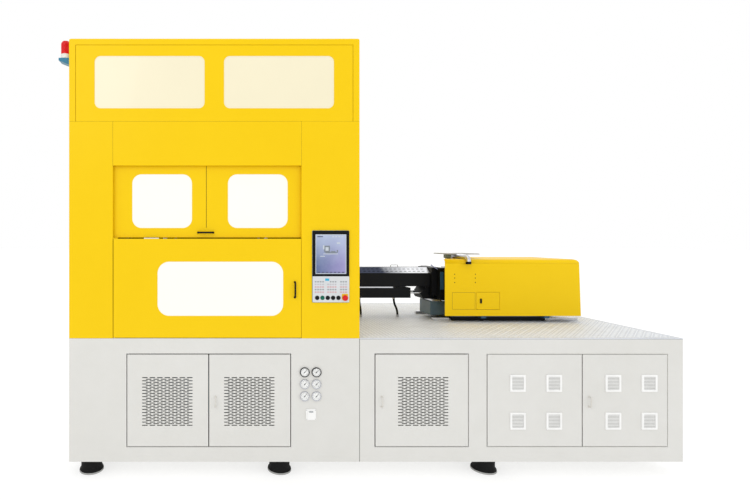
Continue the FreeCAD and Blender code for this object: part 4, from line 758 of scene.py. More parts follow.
for node in ("electric_door_left", "electric_door_right"):
    low, high = door_box(node)
    leaf, frames, mats = bmesh.new(), bmesh.new(), bmesh.new()
    folded_front(leaf, low, high)
    piece(node + "_sheet", leaf, node + "_leaf", GREY, "grey_paint", (node,))
    for column in range(2):
        for line in range(2):
            across, up = FILTER_FROM.x + column * FILTER_STEP.x, FILTER_FROM.y + line * FILTER_STEP.y
            corner = low + Vector((across, 0, up))
            filter_frame(frames, corner)
            slab(mats, corner, *MAT_REACH)
    piece(node + "_filter_frames", frames, node + "_leaf", WHITE_PLASTIC, "grey_paint")
    piece(node + "_filter_mats", mats, node + "_leaf", FILTER, "grey_paint", rounding=0.6)
print("filter frames: 8")

# %% [markdown]
# A pale seal lines the opening of the filter doors. It fills most of the gap above them, but little at
# their sides, because a leaf that turns on its corner pivots sweeps 3 mm into the gap.

# %% Seal round the filter doors
DOOR_GAP = 5 * MM
SEAL_SIDE, SEAL_TOP, SEAL_FOOT = 1.7 * MM, 3.8 * MM, 2 * MM
seal_near, seal_far = FRONT + 1.5 * MM, FRONT + 9 * MM
pair_low, pair_high = door_box("electric_door_left")[0], door_box("electric_door_right")[1]
left, right = pair_low.x - DOOR_GAP, pair_high.x + DOOR_GAP
foot, head = pair_low.z - DOOR_GAP, pair_high.z + DOOR_GAP
seal = bmesh.new()
block(seal, (left, seal_near, head - SEAL_TOP), (right, seal_far, head))
block(seal, (left, seal_near, foot), (right, seal_far, foot + SEAL_FOOT))
for low_x, high_x in ((left, left + SEAL_SIDE), (right - SEAL_SIDE, right)):
    block(seal, (low_x, seal_near, foot + SEAL_FOOT), (high_x, seal_far, head - SEAL_TOP))
piece("filter_door_seal", seal, FRAME_BODY, NYLON, "panel_plastic")

# %% [markdown]
# ## Handles
#
# Every handle on the machine is a bow: a bar that leaves the door, turns, runs along it and turns back into
# it. A ring of edges extruded and turned step by step gives the bends a true round section. The cabinet
# doors have pale coated bows, and the tower doors heavier black plastic ones on two feet.

# %% Bow pulls of the cabinet doors
PULL_FOOT = [(0, 2.2), (8, 2.2), (9, 1), (9, 0), (0, 0)]
PULL_FROM = Vector((55, 0, 339.5)) * MM
PULL_LONG = 85 * MM
for node in ("hydraulic_door_right", "centre_door", "electric_door_right"):
    start = door_box(node)[0] + PULL_FROM
    bar, feet = bmesh.new(), bmesh.new()
    bow(bar, start, (0, -1, 0), (0, 0, 1), 26 * MM, PULL_LONG, 4.5 * MM)
    for up in (0, PULL_LONG):
        turned(feet, PULL_FOOT, start + Vector((0, 0, up)), "-Y", 20)
    piece(node + "_pull", bar, node + "_leaf", PULL_COAT, "steel")
    piece(node + "_pull_feet", feet, node + "_leaf", PULL_COAT, "steel")

# %% Black bows of the gate and the lower door
GRIP = 7.5 * MM
BOW_FOOT = [(0, 3.5), (9, 3.5), (9.5, 3), (9.5, 0), (0, 0)]


def black_bow(name, body, node, along):
    """A thick plastic bow in the place of a CAD handle."""
    low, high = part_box(node)
    bar = bmesh.new()
    along = Vector(along)
    length = max(high.x - low.x, high.z - low.z) - 12 * MM
    middle = (low + high) / 2
    start = Vector((middle.x, high.y, middle.z)) - along * length / 2
    bow(bar, start, (0, -1, 0), along, high.y - low.y - GRIP, length, GRIP, 14 * MM)
    for foot in (start, start + along * length):
        turned(bar, BOW_FOOT, foot, "-Y", 20)
    piece(name, bar, body, BLACK_PLASTIC, "black_plastic", (node,))


black_bow("gate_bow", "gate", "gate_handle", (1, 0, 0))
black_bow("door_bow", "swing_door", "lower_door_handle", (0, 0, 1))

# %% [markdown]
# ## Operator panel
#
# The panel is a tall glass-fronted screen in a black frame, above a pale membrane keypad and a line of
# buttons. Frame and keypad are plates with openings cut in their outline, so the buttons really run in
# holes. The keys are thin raised pads. What the real screen and keys say is left out: plain blocks stand
# for it.

# %% Frame, keypad plate and housing
panel_low, panel_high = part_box("control_panel")
PANEL_WIDE, PANEL_HIGH = panel_high.x - panel_low.x, panel_high.z - panel_low.z
PANEL_MIDDLE = (panel_low.x + panel_high.x) / 2
PANEL_CENTRE = (PANEL_MIDDLE, (panel_low.z + panel_high.z) / 2)
PANEL_CORNER = 7 * MM
BEZEL = 12 * MM
FACE = FRONT - BEZEL
KEYPAD_HIGH = 220 * MM
BUTTON_LINE = panel_low.z + 38 * MM
BUTTONS = [panel_low.x + (38 + 45 * count) * MM for count in range(5)]
STOP = panel_low.x + 273 * MM
SCREEN_WIDE, SCREEN_HIGH = 262 * MM, 336 * MM
screen_low = Vector((panel_low.x + 24 * MM, FACE, panel_low.z + 240 * MM))
screen_high = screen_low + Vector((SCREEN_WIDE, 0, SCREEN_HIGH))
screen_middle = (PANEL_MIDDLE, (screen_low.z + screen_high.z) / 2)

surround_plate = bmesh.new()
frame_low = panel_low.z + KEYPAD_HIGH
opening = rounded_loop(surround_plate, screen_middle, SCREEN_WIDE, SCREEN_HIGH, 4 * MM, 3, FACE)
plate(surround_plate, (PANEL_MIDDLE, (frame_low + panel_high.z) / 2), PANEL_WIDE, panel_high.z - frame_low,
      PANEL_CORNER, FACE, BEZEL, opening)
piece("operator_frame", surround_plate, FRAME_BODY, BLACK, "black_plastic", ("control_panel",), 1.2)

keypad = bmesh.new()
holes = [vert for across in BUTTONS for vert in round_hole(keypad, (across, BUTTON_LINE), 13.6 * MM, FACE)]
holes += round_hole(keypad, (STOP, BUTTON_LINE), 11.6 * MM, FACE)
plate(keypad, (PANEL_MIDDLE, panel_low.z + KEYPAD_HIGH / 2), PANEL_WIDE, KEYPAD_HIGH,
      PANEL_CORNER, FACE, BEZEL,
      holes)
piece("operator_keypad", keypad, FRAME_BODY, PALE_PLASTIC, "panel_plastic", rounding=1)

housing = bmesh.new()
ring = rounded_loop(housing, PANEL_CENTRE, PANEL_WIDE - 20 * MM, PANEL_HIGH - 20 * MM, 6 * MM, 3, FRONT)
back = grow(housing, ring, (PANEL_MIDDLE, 0), [(0, 60 * MM)])
filled(housing, back)
give_wall(piece("operator_housing", housing, FRAME_BODY, GALVANISED, "steel"), 1.5 * MM)

gasket = bmesh.new()
GASKET_FACE = FRONT - 3 * MM
inner = rounded_loop(gasket, PANEL_CENTRE, PANEL_WIDE - 8 * MM, PANEL_HIGH - 8 * MM, 6 * MM, 3, GASKET_FACE)
plate(gasket, PANEL_CENTRE, PANEL_WIDE + 6 * MM, PANEL_HIGH + 6 * MM, 9 * MM, GASKET_FACE, 2.8 * MM, inner, 3)
piece("operator_gasket", gasket, FRAME_BODY, TEAL, "teal_paint", rounding=0.8)

# %% [markdown]
# The screen is glass over a lit picture. Its picture is a gradient in object coordinates, pale at the top
# and cooler to violet at the foot, with a little cloud so that it looks lit from behind and not printed.

# %% Screen
def lit_screen(name, low, high):
    glass = Finish(name, Roughness=0.14, Coat_Weight=0.5, Coat_Roughness=0.04, Emission_Strength=0.62)
    across = glass.band(glass.part("X"), low.x, high.x)
    up = glass.band(glass.part("Z") + glass.noise(11, 4) * 0.16 - 0.08, low.z + 0.07, high.z + 0.03)
    foot = glass.mix(across + glass.noise(14, 2) * 0.3 - 0.15, (0.012, 0.05, 0.16), (0.24, 0.2, 0.42))
    tone = glass.mix(up, foot, (0.36, 0.42, 0.56))
    glass.feed("Base Color", glass.mix(0.5, tone, (0.1, 0.12, 0.16)))
    glass.feed("Emission Color", tone)
    return glass.material


SCREEN = lit_screen("lit screen glass", screen_low, screen_high)
display = bmesh.new()
plate(display, screen_middle, 256 * MM, 330 * MM, 2 * MM, FACE + 1.6 * MM, 4 * MM)
piece("operator_screen", display, FRAME_BODY, SCREEN, "panel_plastic")
trim = bmesh.new()
plate(trim, screen_middle, 262 * MM, 336 * MM, 4 * MM, FACE + 1.4 * MM, 2 * MM,
      rounded_loop(trim, screen_middle, 250 * MM, 324 * MM, 2 * MM, 2, FACE + 1.4 * MM), 2)
piece("operator_screen_trim", trim, FRAME_BODY, SCREEN_TRIM, "panel_plastic")


# %% Plain picture on the screen and pads on the keypad
def pads(name, finish, places, depth, lift=0.6, rounding=0.3):
    """Thin raised pads; a place is x, z, width and height in metres, its middle given."""
    shape = bmesh.new()
    for across, up, wide, high in places:
        block(shape, (across - wide / 2, depth - lift * MM, up - high / 2),
              (across + wide / 2, depth, up + high / 2))
    piece(name, shape, FRAME_BODY, finish, "panel_plastic", rounding=rounding)


def on_screen(places):
    """Places in millimetres from the screen's lower left corner, in metres."""
    return [(screen_low.x + x * MM, screen_low.z + z * MM, wide * MM, high * MM)
            for x, z, wide, high in places]


GLASS_FACE = FACE + 1.7 * MM
DRAWING = [(98, 212, 50, 56), (132, 180, 96, 10), (150, 190, 40, 10), (186, 192, 12, 22)]
HIGHLIGHTS = [(70, 226, 12, 34), (128, 170, 124, 6), (98, 212, 26, 30), (196, 262, 30, 12), (60, 150, 40, 6)]
TABS = [(150 + 26 * count, 316, 18, 8) for count in range(4)]
FIELDS = [(30 + 34 * count, 14, 22, 8) for count in range(7)] + [(40, 316, 48, 8)]
pads("screen_picture_body", SCREEN_GREY, on_screen(DRAWING), GLASS_FACE, 0.3, 0.1)
pads("screen_picture_light", SCREEN_TRIM, on_screen(HIGHLIGHTS + TABS), GLASS_FACE, 0.36, 0.1)
pads("screen_picture_dark", SCREEN_DARK, on_screen(FIELDS), GLASS_FACE, 0.3, 0.1)

KEY = Vector((14, 11)) * MM
KEY_STEP = (21, 22)
KEY_FOOT = 86
CLUSTERS = ((25, 4), (131, 4), (240, 3))


def keys(rows, skip=()):
    """Places of the keys in some rows of every cluster."""
    places = []
    for left, columns in CLUSTERS:
        for row in rows:
            for column in range(columns):
                if (left, row, column) not in skip:
                    across, up = left + KEY_STEP[0] * column, KEY_FOOT + KEY_STEP[1] * row
                    places.append((panel_low.x + across * MM, panel_low.z + up * MM, *KEY))
    return places


CYAN_PLACE = (panel_low.x + 123 * MM, panel_low.z + 192 * MM, 34 * MM, 20 * MM)
pads("keypad_grey_keys", KEY_GREY, keys((1, 4), {(131, 4, 0)}), FACE)
pads("keypad_pink_keys", KEY_PINK, keys((0, 2)), FACE)
pads("keypad_pale_keys", KEY_PALE, keys((3,)), FACE)
pads("keypad_cyan_key", KEY_CYAN, [CYAN_PLACE], FACE, 0.8)

# %% Button rings, legend plate and emergency stop
rings, green_ring = bmesh.new(), bmesh.new()
RING = [(13.5, 0), (18.5, 0), (18.5, 1.6), (17.4, 2.4), (14.6, 2.4), (13.5, 1.6), (13.5, 0)]
for count, across in enumerate(BUTTONS):
    turned(green_ring if count == 1 else rings, RING, (across, FACE, BUTTON_LINE), "-Y", 36)
piece("button_rings", rings, FRAME_BODY, BLACK_PLASTIC, "black_plastic")
piece("button_ring_green", green_ring, FRAME_BODY, GREEN_PLASTIC, "green_plastic")

legend = bmesh.new()
LEGEND = 0.9 * MM
COLLAR = [(12, 0.9), (25, 0.9), (25, 1.5), (24.4, 2), (12, 2), (12, 0.9)]
hole = round_hole(legend, (STOP, BUTTON_LINE), 12 * MM, FACE - LEGEND)
plate(legend, (STOP, BUTTON_LINE + 9 * MM), 52 * MM, 50 * MM, 6 * MM, FACE - LEGEND, LEGEND, hole)
turned(legend, COLLAR, (STOP, FACE, BUTTON_LINE), "-Y", 40)
piece("stop_legend_plate", legend, FRAME_BODY, SIGNAL_YELLOW, "panel_plastic")

stop = bmesh.new()
MUSHROOM = [(0, -2), (11, -2), (11, 20), (21, 20), (23.4, 21), (24, 23), (24, 27), (22.8, 29.6), (19, 31.6),
            (13, 32.6), (0, 33)]
turned(stop, MUSHROOM, (STOP, FRONT, BUTTON_LINE), "-Y", 44)
piece("stop_mushroom", stop, "stop_button", RED_PLASTIC, "red_plastic", ("emergency_stop",))
print("keys:", sum(columns for _, columns in CLUSTERS) * 5)

# %% [markdown]
# ## Beacon
#
# The lamp stands on a wedge bracket at the tower's corner. Its lens is moulded with upright flutes that
# catch the light as bright lines, so its outline is a circle of points, every second pair drawn in.

# %% Bracket, base ring and fluted lens
wedge_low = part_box("beacon_bracket")[0]
lens_low, lens_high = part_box("beacon_lens")
LAMP = Vector(((lens_low.x + lens_high.x) / 2, (lens_low.y + lens_high.y) / 2, lens_low.z))
RING_HIGH = 38 * MM
WEDGE_HALF = 42 * MM
WEDGE_TOP = lens_low.z - RING_HIGH
wedge = bmesh.new()
side = ((LEFT, wedge_low.z), (LEFT, WEDGE_TOP), (wedge_low.x, WEDGE_TOP), (wedge_low.x, WEDGE_TOP - 22 * MM))
cut_sheet(wedge, [(x, LAMP.y - WEDGE_HALF, z) for x, z in side], (0, 2 * WEDGE_HALF, 0))
piece("beacon_wedge", wedge, FRAME_BODY, TEAL, "teal_paint", ("beacon_bracket",), 2)

ring = bmesh.new()
turned(ring, [(0, 0), (44, 0), (46, 2), (46, 30), (44.5, 32), (44.5, 36), (42, 38), (0, 38)],
       (LAMP.x, LAMP.y, WEDGE_TOP), "Z", 48)
piece("beacon_ring", ring, FRAME_BODY, NYLON, "panel_plastic")

FLUTES = 24
LENS_STEPS = ((42.5, 42.5, 8), (42.5, 40, 9), (42.5, 40, 92), (40, 38, 99), (35, 34, 103), (33, 33, 104),
              (33, 33, 110), (30, 30, 113))
fluted = bmesh.new()
rim = bmesh.ops.create_circle(fluted, cap_ends=True, segments=4 * FLUTES, radius=1,
                              matrix=Matrix.Translation(LAMP))["verts"]
face = rim[0].link_faces[0]


def set_ring(verts, outer, inner, height):
    """Puts a ring of points on the lens: every second pair stands further in."""
    for vert in verts:
        angle = math.atan2(vert.co.y - LAMP.y, vert.co.x - LAMP.x)
        count = round(angle / (2 * math.pi) * 4 * FLUTES) % 4
        radius = (outer if count < 2 else inner) * MM
        vert.co = LAMP + Vector((math.cos(angle) * radius, math.sin(angle) * radius, height * MM))


set_ring(rim, 42.5, 42.5, 0)
for step in LENS_STEPS:
    face = bmesh.ops.extrude_discrete_faces(fluted, faces=[face])["faces"][0]
    set_ring(face.verts, *step)
piece("beacon_fluted_lens", fluted, FRAME_BODY, LENS_RED, "red_plastic", ("beacon_lens",))
print("flutes:", FLUTES)

# %% [markdown]
# ## Pressure gauges and socket
#
# Each gauge is turned: a rim with a rounded lip, a white dial set into it and a thin glass. The marks are
# raised print, and a scale of plain numbers follows the dial's edge. The numbers are text made into a mesh.

# %% Digits as flat mesh
def digits(shape, text, centre, high):
    """Plain figures in an upright plane, their middle at a point."""
    letters = bpy.data.curves.new("digits", "FONT")
    letters.body = text
    letters.size = high
    letters.resolution_u = 2
    letters.extrude = 0.1 * MM
    letters.align_x, letters.align_y = "CENTER", "CENTER"
    holder = bpy.data.objects.new("digits", letters)
    bpy.context.collection.objects.link(holder)
    flat = bpy.data.meshes.new_from_object(holder)
    flat.transform(Matrix.Translation(centre) @ Matrix.Rotation(QUARTER, 4, "X"))
    shape.from_mesh(flat)
    bpy.data.objects.remove(holder)
    bpy.data.meshes.remove(flat)


# %% Gauges
gauge_low, gauge_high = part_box("pressure_gauges")
GAUGE = 41
GAUGE_OUT = (FRONT - gauge_low.y) / MM
LINE_STEP = (gauge_high.z - gauge_low.z) / 2 - GAUGE * MM
columns = (gauge_low.x + GAUGE * MM, gauge_high.x - GAUGE * MM)
lines = [gauge_low.z + GAUGE * MM + step * LINE_STEP for step in range(3)]
SWEEP = [math.radians(225 - 27 * step) for step in range(11)]
POINTING = Vector((0.707, 0, 0.707))
RIM_PROFILE = [(0, 0.2), (41, 0.2), (41, GAUGE_OUT - 2), (39.5, GAUGE_OUT), (36.5, GAUGE_OUT),
               (35, GAUGE_OUT - 2), (35, 2), (0, 2)]
DIAL_PROFILE = [(0, 6), (35, 6), (35, 5), (0, 5)]
GLASS_PROFILE = [(0, GAUGE_OUT - 0.6), (20, GAUGE_OUT - 0.9), (35.2, GAUGE_OUT - 1.8),
                 (35.2, GAUGE_OUT - 2.6),
                 (0, GAUGE_OUT - 2.2)]
HUB_PROFILE = [(0, 8.6), (3.4, 8.6), (4, 8), (4, 6), (0, 6)]


def bar_mark(shape, start, end, near, far, depth, thick):
    """A flat bar between two points of a dial, near and far being its half widths; in millimetres."""
    along = (end - start).normalized()
    side = Vector((along.z, 0, -along.x)) * MM
    lift = Vector((0, -depth * MM, 0))
    corners = (start - side * near, start + side * near, end + side * far, end - side * far)
    cut_sheet(shape, [corner + lift for corner in corners], (0, -thick * MM, 0))


rims, dark_rims, dials, marks, needles, glasses = (bmesh.new() for _ in range(6))
for across in columns:
    for line, up in enumerate(lines):
        centre = Vector((across, FRONT, up))
        for shape, profile in ((dark_rims if line == 2 else rims, RIM_PROFILE), (dials, DIAL_PROFILE),
                               (glasses, GLASS_PROFILE)):
            turned(shape, profile, centre, "-Y", 40)
        turned(needles, HUB_PROFILE, centre, "-Y", 16)
        bar_mark(needles, centre - POINTING * 11 * MM, centre + POINTING * 27 * MM, 1.8, 0.6, 7, 0.8)
        for step, angle in enumerate(SWEEP):
            radial = Vector((math.cos(angle), 0, math.sin(angle)))
            long = 6 if step % 2 == 0 else 3.5
            bar_mark(marks, centre + radial * 33 * MM, centre + radial * (33 - long) * MM,
                     0.8, 0.8, 6.05, 0.3)
            if step % 2 == 0:
                spot = centre + radial * 22.5 * MM + Vector((0, -6.05 * MM, 0))
                digits(marks, str(step * 2), spot, 6.5 * MM)
piece("gauge_rims", rims, FRAME_BODY, SILVER, "gauge_white", ("pressure_gauges",))
piece("gauge_dark_rims", dark_rims, FRAME_BODY, BLACK, "black_paint")
piece("gauge_dials", dials, FRAME_BODY, WHITE_PLASTIC, "gauge_white")
piece("gauge_marks", marks, FRAME_BODY, INK, "gauge_white")
piece("gauge_needles", needles, FRAME_BODY, INK, "gauge_white")
piece("gauge_glasses", glasses, FRAME_BODY, GLASS, "gauge_white")
print("gauges at", [round(value, 3) for value in columns], [round(value, 3) for value in lines])

# %% [markdown]
# The service socket is a white box with a sprung lid. The lid is a separate raised plate, hinged at its top
# on a small grey bar.

# %% Socket with its lid
SOCKET = Vector((LEFT + 2056 * MM, FRONT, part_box("hydraulic_base")[0].z + 404 * MM))
socket, lid, bar = bmesh.new(), bmesh.new(), bmesh.new()
plate(socket, (SOCKET.x, SOCKET.z), 86 * MM, 92 * MM, 7 * MM, FRONT - 10 * MM, 10 * MM)
plate(lid, (SOCKET.x, SOCKET.z - 6 * MM), 62 * MM, 62 * MM, 8 * MM, FRONT - 15 * MM, 5.2 * MM)
slab(bar, SOCKET, (-17, 17), (-16, -9.8), (21, 29))
for across in (-36, 36):
    for up in (-38, 38):
        turned(bar, disc(3, 9.8, 11.4, 0.6), SOCKET + Vector((across, 0, up)) * MM, "-Y", 12)
piece("socket_box", socket, FRAME_BODY, WHITE_PLASTIC, "panel_plastic", rounding=2, segments=3)
piece("socket_lid", lid, FRAME_BODY, WHITE_PLASTIC, "panel_plastic", rounding=2, segments=3)
piece("socket_hinge", bar, FRAME_BODY, KEY_GREY, "panel_plastic", rounding=0.8)

# %% [markdown]
# ## Feet
#
# The machine stands on round mounts: a pressed steel foot, a rubber drum that bulges a little and flares at
# its bottom, a steel cap and the nut of the levelling stud. All but the nut are turned.

# %% Levelling feet
foot_low, foot_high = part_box("levelling_feet")
FOOT_X = (LEFT + 161 * MM, LEFT + 1802 * MM, LEFT + 3587 * MM)
FOOT_Y = (foot_low.y + 103 * MM, foot_high.y - 103 * MM)
FOOT_HIGH = (foot_high.z - foot_low.z) / MM
NUT_FROM = 112.8
SOLE = [(0, 0), (101, 0), (103, 2), (103, 11), (101, 14), (96, 15), (0, 15)]
DRUM = [(0, 14.5), (99, 14.5), (101, 18), (100, 23), (95, 29), (90, 38), (88, 52), (88, 76), (90, 92),
        (91, 100), (89, 106), (84, 109), (0, 109)]
CAP = [(0, 108), (84, 108), (86, 109), (86, 112), (84, 113), (0, 113)]
soles, drums, nuts = bmesh.new(), bmesh.new(), bmesh.new()
for across in FOOT_X:
    for depth in FOOT_Y:
        for shape, profile in ((soles, SOLE), (drums, DRUM), (nuts, CAP)):
            turned(shape, profile, (across, depth, 0), "Z", 48)
        nut = bmesh.ops.create_circle(nuts, cap_ends=True, segments=6, radius=24 * MM,
                                      matrix=Matrix.Translation((across, depth, NUT_FROM * MM)))["verts"]
        thicken(nuts, [nut[0].link_faces[0]], (0, 0, (FOOT_HIGH - NUT_FROM) * MM))
piece("foot_soles", soles, FRAME_BODY, DUSTY_STEEL, "steel", ("levelling_feet",))
piece("foot_drums", drums, FRAME_BODY, RUBBER, "hose_rubber")
piece("foot_nuts", nuts, FRAME_BODY, STEEL, "steel", rounding=0.8)

# %% [markdown]
# ## Tread on the deck
#
# The deck is rolled plate with raised lozenges that alternate in direction. One cell of four lozenges is
# modelled and two array modifiers repeat it over the deck, so the pattern stays true geometry at little
# cost.

# %% Tread bars
TREAD_CELL = 76 * MM
TREAD_EDGE = 14 * MM
TREAD_HIGH = 1.8 * MM
LOZENGE = Matrix.Diagonal((15 * MM, 4 * MM, 1, 1))
deck_size = deck_high - deck_low
cells = [int((size - 2 * TREAD_EDGE) / TREAD_CELL) for size in deck_size.xy]
margin_x, margin_y = ((size - TREAD_CELL * count) / 2 for size, count in zip(deck_size.xy, cells))
tread = bmesh.new()
for column in range(2):
    for line in range(2):
        centre = Vector((deck_low.x + margin_x + (column + 0.5) * TREAD_CELL / 2,
                         deck_low.y + margin_y + (line + 0.5) * TREAD_CELL / 2, deck_high.z))
        turn = Matrix.Rotation(math.radians(45 if (column + line) % 2 else -45), 4, "Z")
        base = bmesh.ops.create_circle(tread, cap_ends=True, segments=6, radius=1,
                                       matrix=Matrix.Translation(centre) @ turn @ LOZENGE)["verts"]
        top = thicken(tread, [base[0].link_faces[0]], (0, 0, TREAD_HIGH))
        bmesh.ops.scale(tread, verts=top, vec=(0.6, 0.6, 1), space=Matrix.Translation(-centre))
bars = piece("tread_bars", tread, FRAME_BODY, TREAD_BAR, "tread")
for axis, count in enumerate(cells):
    row = bars.modifiers.new("row", "ARRAY")
    row.count = count
    row.use_relative_offset = False
    row.use_constant_offset = True
    row.constant_offset_displace = [TREAD_CELL if axis == place else 0 for place in range(3)]
print("tread bars:", 4 * cells[0] * cells[1])

# %% [markdown]
# ## Injection unit: guards
#
# The barrel's guard is folded from black sheet, with two silver shoulders punched with slots so that the
# heat gets out. A shoulder is made flat, like a door's sheet, and then leaned back into its place. A mirror
# image serves the rear.

# %% Barrel guard
guard_low, guard_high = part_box("barrel_guard")
GUARD_FROM, GUARD_TO = (guard_low.x - JOINT) / MM, (guard_high.x - JOINT) / MM
GUARD_FOOT = (guard_low.z - DECK) / MM
GUARD_HALF, CROWN_HALF = 135, 45
SHOULDER, CROWN = 486, 543
GUARD_SHEET = 4
FLANGE = GUARD_TO - 56
hull = bmesh.new()
for side in ((-GUARD_HALF, GUARD_SHEET - GUARD_HALF), (GUARD_HALF - GUARD_SHEET, GUARD_HALF)):
    slab(hull, UNIT, (GUARD_FROM, GUARD_TO), side, (GUARD_FOOT, SHOULDER))
slab(hull, UNIT, (GUARD_FROM, GUARD_TO), (-CROWN_HALF - 1, CROWN_HALF + 1), (CROWN - GUARD_SHEET, CROWN))
slab(hull, UNIT, (FLANGE, GUARD_TO - 1), (-GUARD_HALF - 34, GUARD_HALF + 34), (250, CROWN + 1))
LINER_DROP, LINER_SHEET = 12, 2
liner = [(GUARD_SHEET - GUARD_HALF, SHOULDER - LINER_DROP), (-CROWN_HALF, CROWN - LINER_DROP),
         (CROWN_HALF, CROWN - LINER_DROP), (GUARD_HALF - GUARD_SHEET, SHOULDER - LINER_DROP)]
liner += [(y, z - LINER_SHEET) for y, z in reversed(liner)]
cut_sheet(hull, [(guard_low.x + 2 * MM, MIDDLE + y * MM, DECK + z * MM) for y, z in liner],
          (guard_high.x - guard_low.x - 4 * MM, 0, 0))
piece("guard_hull", hull, "injection_unit", BLACK, "black_paint", ("barrel_guard",), 1)

GUARD_SLOTS, GUARD_SLOT_STEP = 20, 48 * MM
shoulder_long = math.hypot(GUARD_HALF - CROWN_HALF, CROWN - SHOULDER) * MM
lean = math.atan2(GUARD_HALF - CROWN_HALF, CROWN - SHOULDER)
span = guard_high.x - guard_low.x
for sign, name in ((1, "front"), (-1, "rear")):
    shoulder = bmesh.new()
    loops = []
    for row in (0.3, 0.68):
        for count in range(GUARD_SLOTS):
            centre = (guard_low.x + 28 * MM + count * GUARD_SLOT_STEP, row * shoulder_long)
            loops += rounded_loop(shoulder, centre, 30 * MM, 11 * MM, 5 * MM, 2)
    middle = (guard_low.x + span / 2, shoulder_long / 2)
    plate(shoulder, middle, span, shoulder_long, 1 * MM, 0, 2.5 * MM, loops, 2)
    fit = (Matrix.Translation((0, MIDDLE, DECK + SHOULDER * MM)) @ Matrix.Diagonal((1, sign, 1, 1))
           @ Matrix.Translation((0, -GUARD_HALF * MM, 0)) @ Matrix.Rotation(-lean, 4, "X"))
    bmesh.ops.transform(shoulder, matrix=fit, verts=shoulder.verts)
    # The shoulders' sheet carries painted shade at its left end.
    piece(f"guard_shoulder_{name}", shoulder, "injection_unit", SHADE_END_SHEET, "steel")

wire = bmesh.new()
bow(wire, on_unit(664, 3, CROWN), (0, 0, 1), (1, 0, 0), 22 * MM, 78 * MM, 3 * MM, 6 * MM)
piece("guard_wire_handle", wire, "injection_unit", PULL_METAL, "steel")
print("guard slots:", 4 * GUARD_SLOTS)

# %% Strip on the cylinder guard
cylinder_low, cylinder_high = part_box("cylinder_guard")
edge = Vector((cylinder_low.x, cylinder_low.y, cylinder_high.z))
blocks("cylinder_guard_strip", edge, [((1, 640), (-1, 22), (-2, 11))],
       FRAME_BODY, SILVER, "steel", rounding=1)

# %% [markdown]
# ## Injection unit: drive
#
# A black thrust plate with blue cheeks carries two cylinders, a yoke and the screw motor. The motor's ribs
# are thin bars set round its body, and a pressed cowl covers its fan. The chrome traverse rods pull the
# whole unit to and fro.

# %% A ribbed motor
def ribbed_motor(shape, start, length, radius, ribs=28):
    """A motor body along X with ribs, end shields and a fan cowl; sizes in millimetres."""
    inner = 0.86 * radius
    turned(shape, [(0, 0), (radius * 0.8, 0), (radius, 8), (radius, 30), (inner, 36), (inner, length - 70),
                   (radius, length - 62), (radius * 0.97, length - 10), (radius * 0.8, length), (0, length)],
           start, "X", 40)
    for count in range(ribs):
        rib = slab(shape, start, (34, length - 66), (-2, 2), (0.8 * inner, 0.985 * radius))
        bmesh.ops.rotate(shape, verts=rib, cent=start,
                         matrix=Matrix.Rotation(2 * math.pi * count / ribs, 3, "X"))

# %% Thrust plate, lug, rods, cylinders, yoke and motor
AXIS = 445
THRUST, YOKE, PLATE = 1090, 1990, 60
RAM = [(0, 0), (55, 0), (55, 70), (48, 73), (48, 760), (55, 763), (55, 840), (0, 840)]
LUG = ((974, 210), (1090, 210), (1090, 342), (1002, 342), (945, 259))
GREASE = [(0, 0), (6, 0), (6, 12), (4, 14), (4, 96), (6.5, 98), (6.5, 112), (0, 112)]
blocks("thrust_plate_and_yoke", UNIT, [((THRUST, THRUST + PLATE), (-236, 236), (210, 545)),
                                       ((YOKE, YOKE + PLATE), (-260, 260), (AXIS - 165, AXIS + 165))],
       "injection_unit", BLACK, "black_paint", replaces=("injection_drive",), rounding=3)
blocks("thrust_plate_cheeks", UNIT, [((THRUST + 2, THRUST + 38), (-240, 240), (320, 505))],
       "injection_unit", BLUE, "blue_paint", rounding=2)

lug = bmesh.new()
cut_sheet(lug, [on_unit(x, -110, z) for x, z in LUG], (0, 220 * MM, 0))
piece("traverse_lug", lug, "injection_unit", BLACK, "black_paint", rounding=3)

rods, rams, motor = bmesh.new(), bmesh.new(), bmesh.new()
for sign in (-1, 1):
    turned(rods, disc(8, 0, 560, 1.5), on_unit(530, sign * 80, 270), "X", 24)
    turned(rams, RAM, on_unit(THRUST + PLATE, sign * 175, AXIS), "X", 40)
turned(rods, disc(30, 0, 507), on_unit(1483, 0, AXIS), "X", 32)
ribbed_motor(motor, on_unit(YOKE + PLATE, 0, AXIS), 300, 105)
piece("traverse_rods", rods, "injection_unit", CHROME, "steel")
piece("injection_rams", rams, "injection_unit", SLATE, "cast")
piece("screw_motor", motor, "injection_unit", BLUE, "blue_paint")

fitting = bmesh.new()
turned(fitting, GREASE, (0, 0, 0), "X", 16)
tilt = Matrix.Translation(on_unit(FLANGE - 14, -182, CROWN + 32)) @ Matrix.Rotation(math.radians(34), 4, "Y")
bmesh.ops.transform(fitting, matrix=tilt, verts=fitting.verts)
piece("grease_line", fitting, "injection_unit", PALE_BLUE, "panel_plastic")

# %% [markdown]
# ## Injection unit: bed
#
# The unit's bed is a blue plate on four black shoes, and a slate-grey casting carries its front. A black
# strip along each side of the bed is painted shade, the dark band under the cover where the bed's shadow
# falls. The casting's top is machined bright where the thrust plate stands on it.

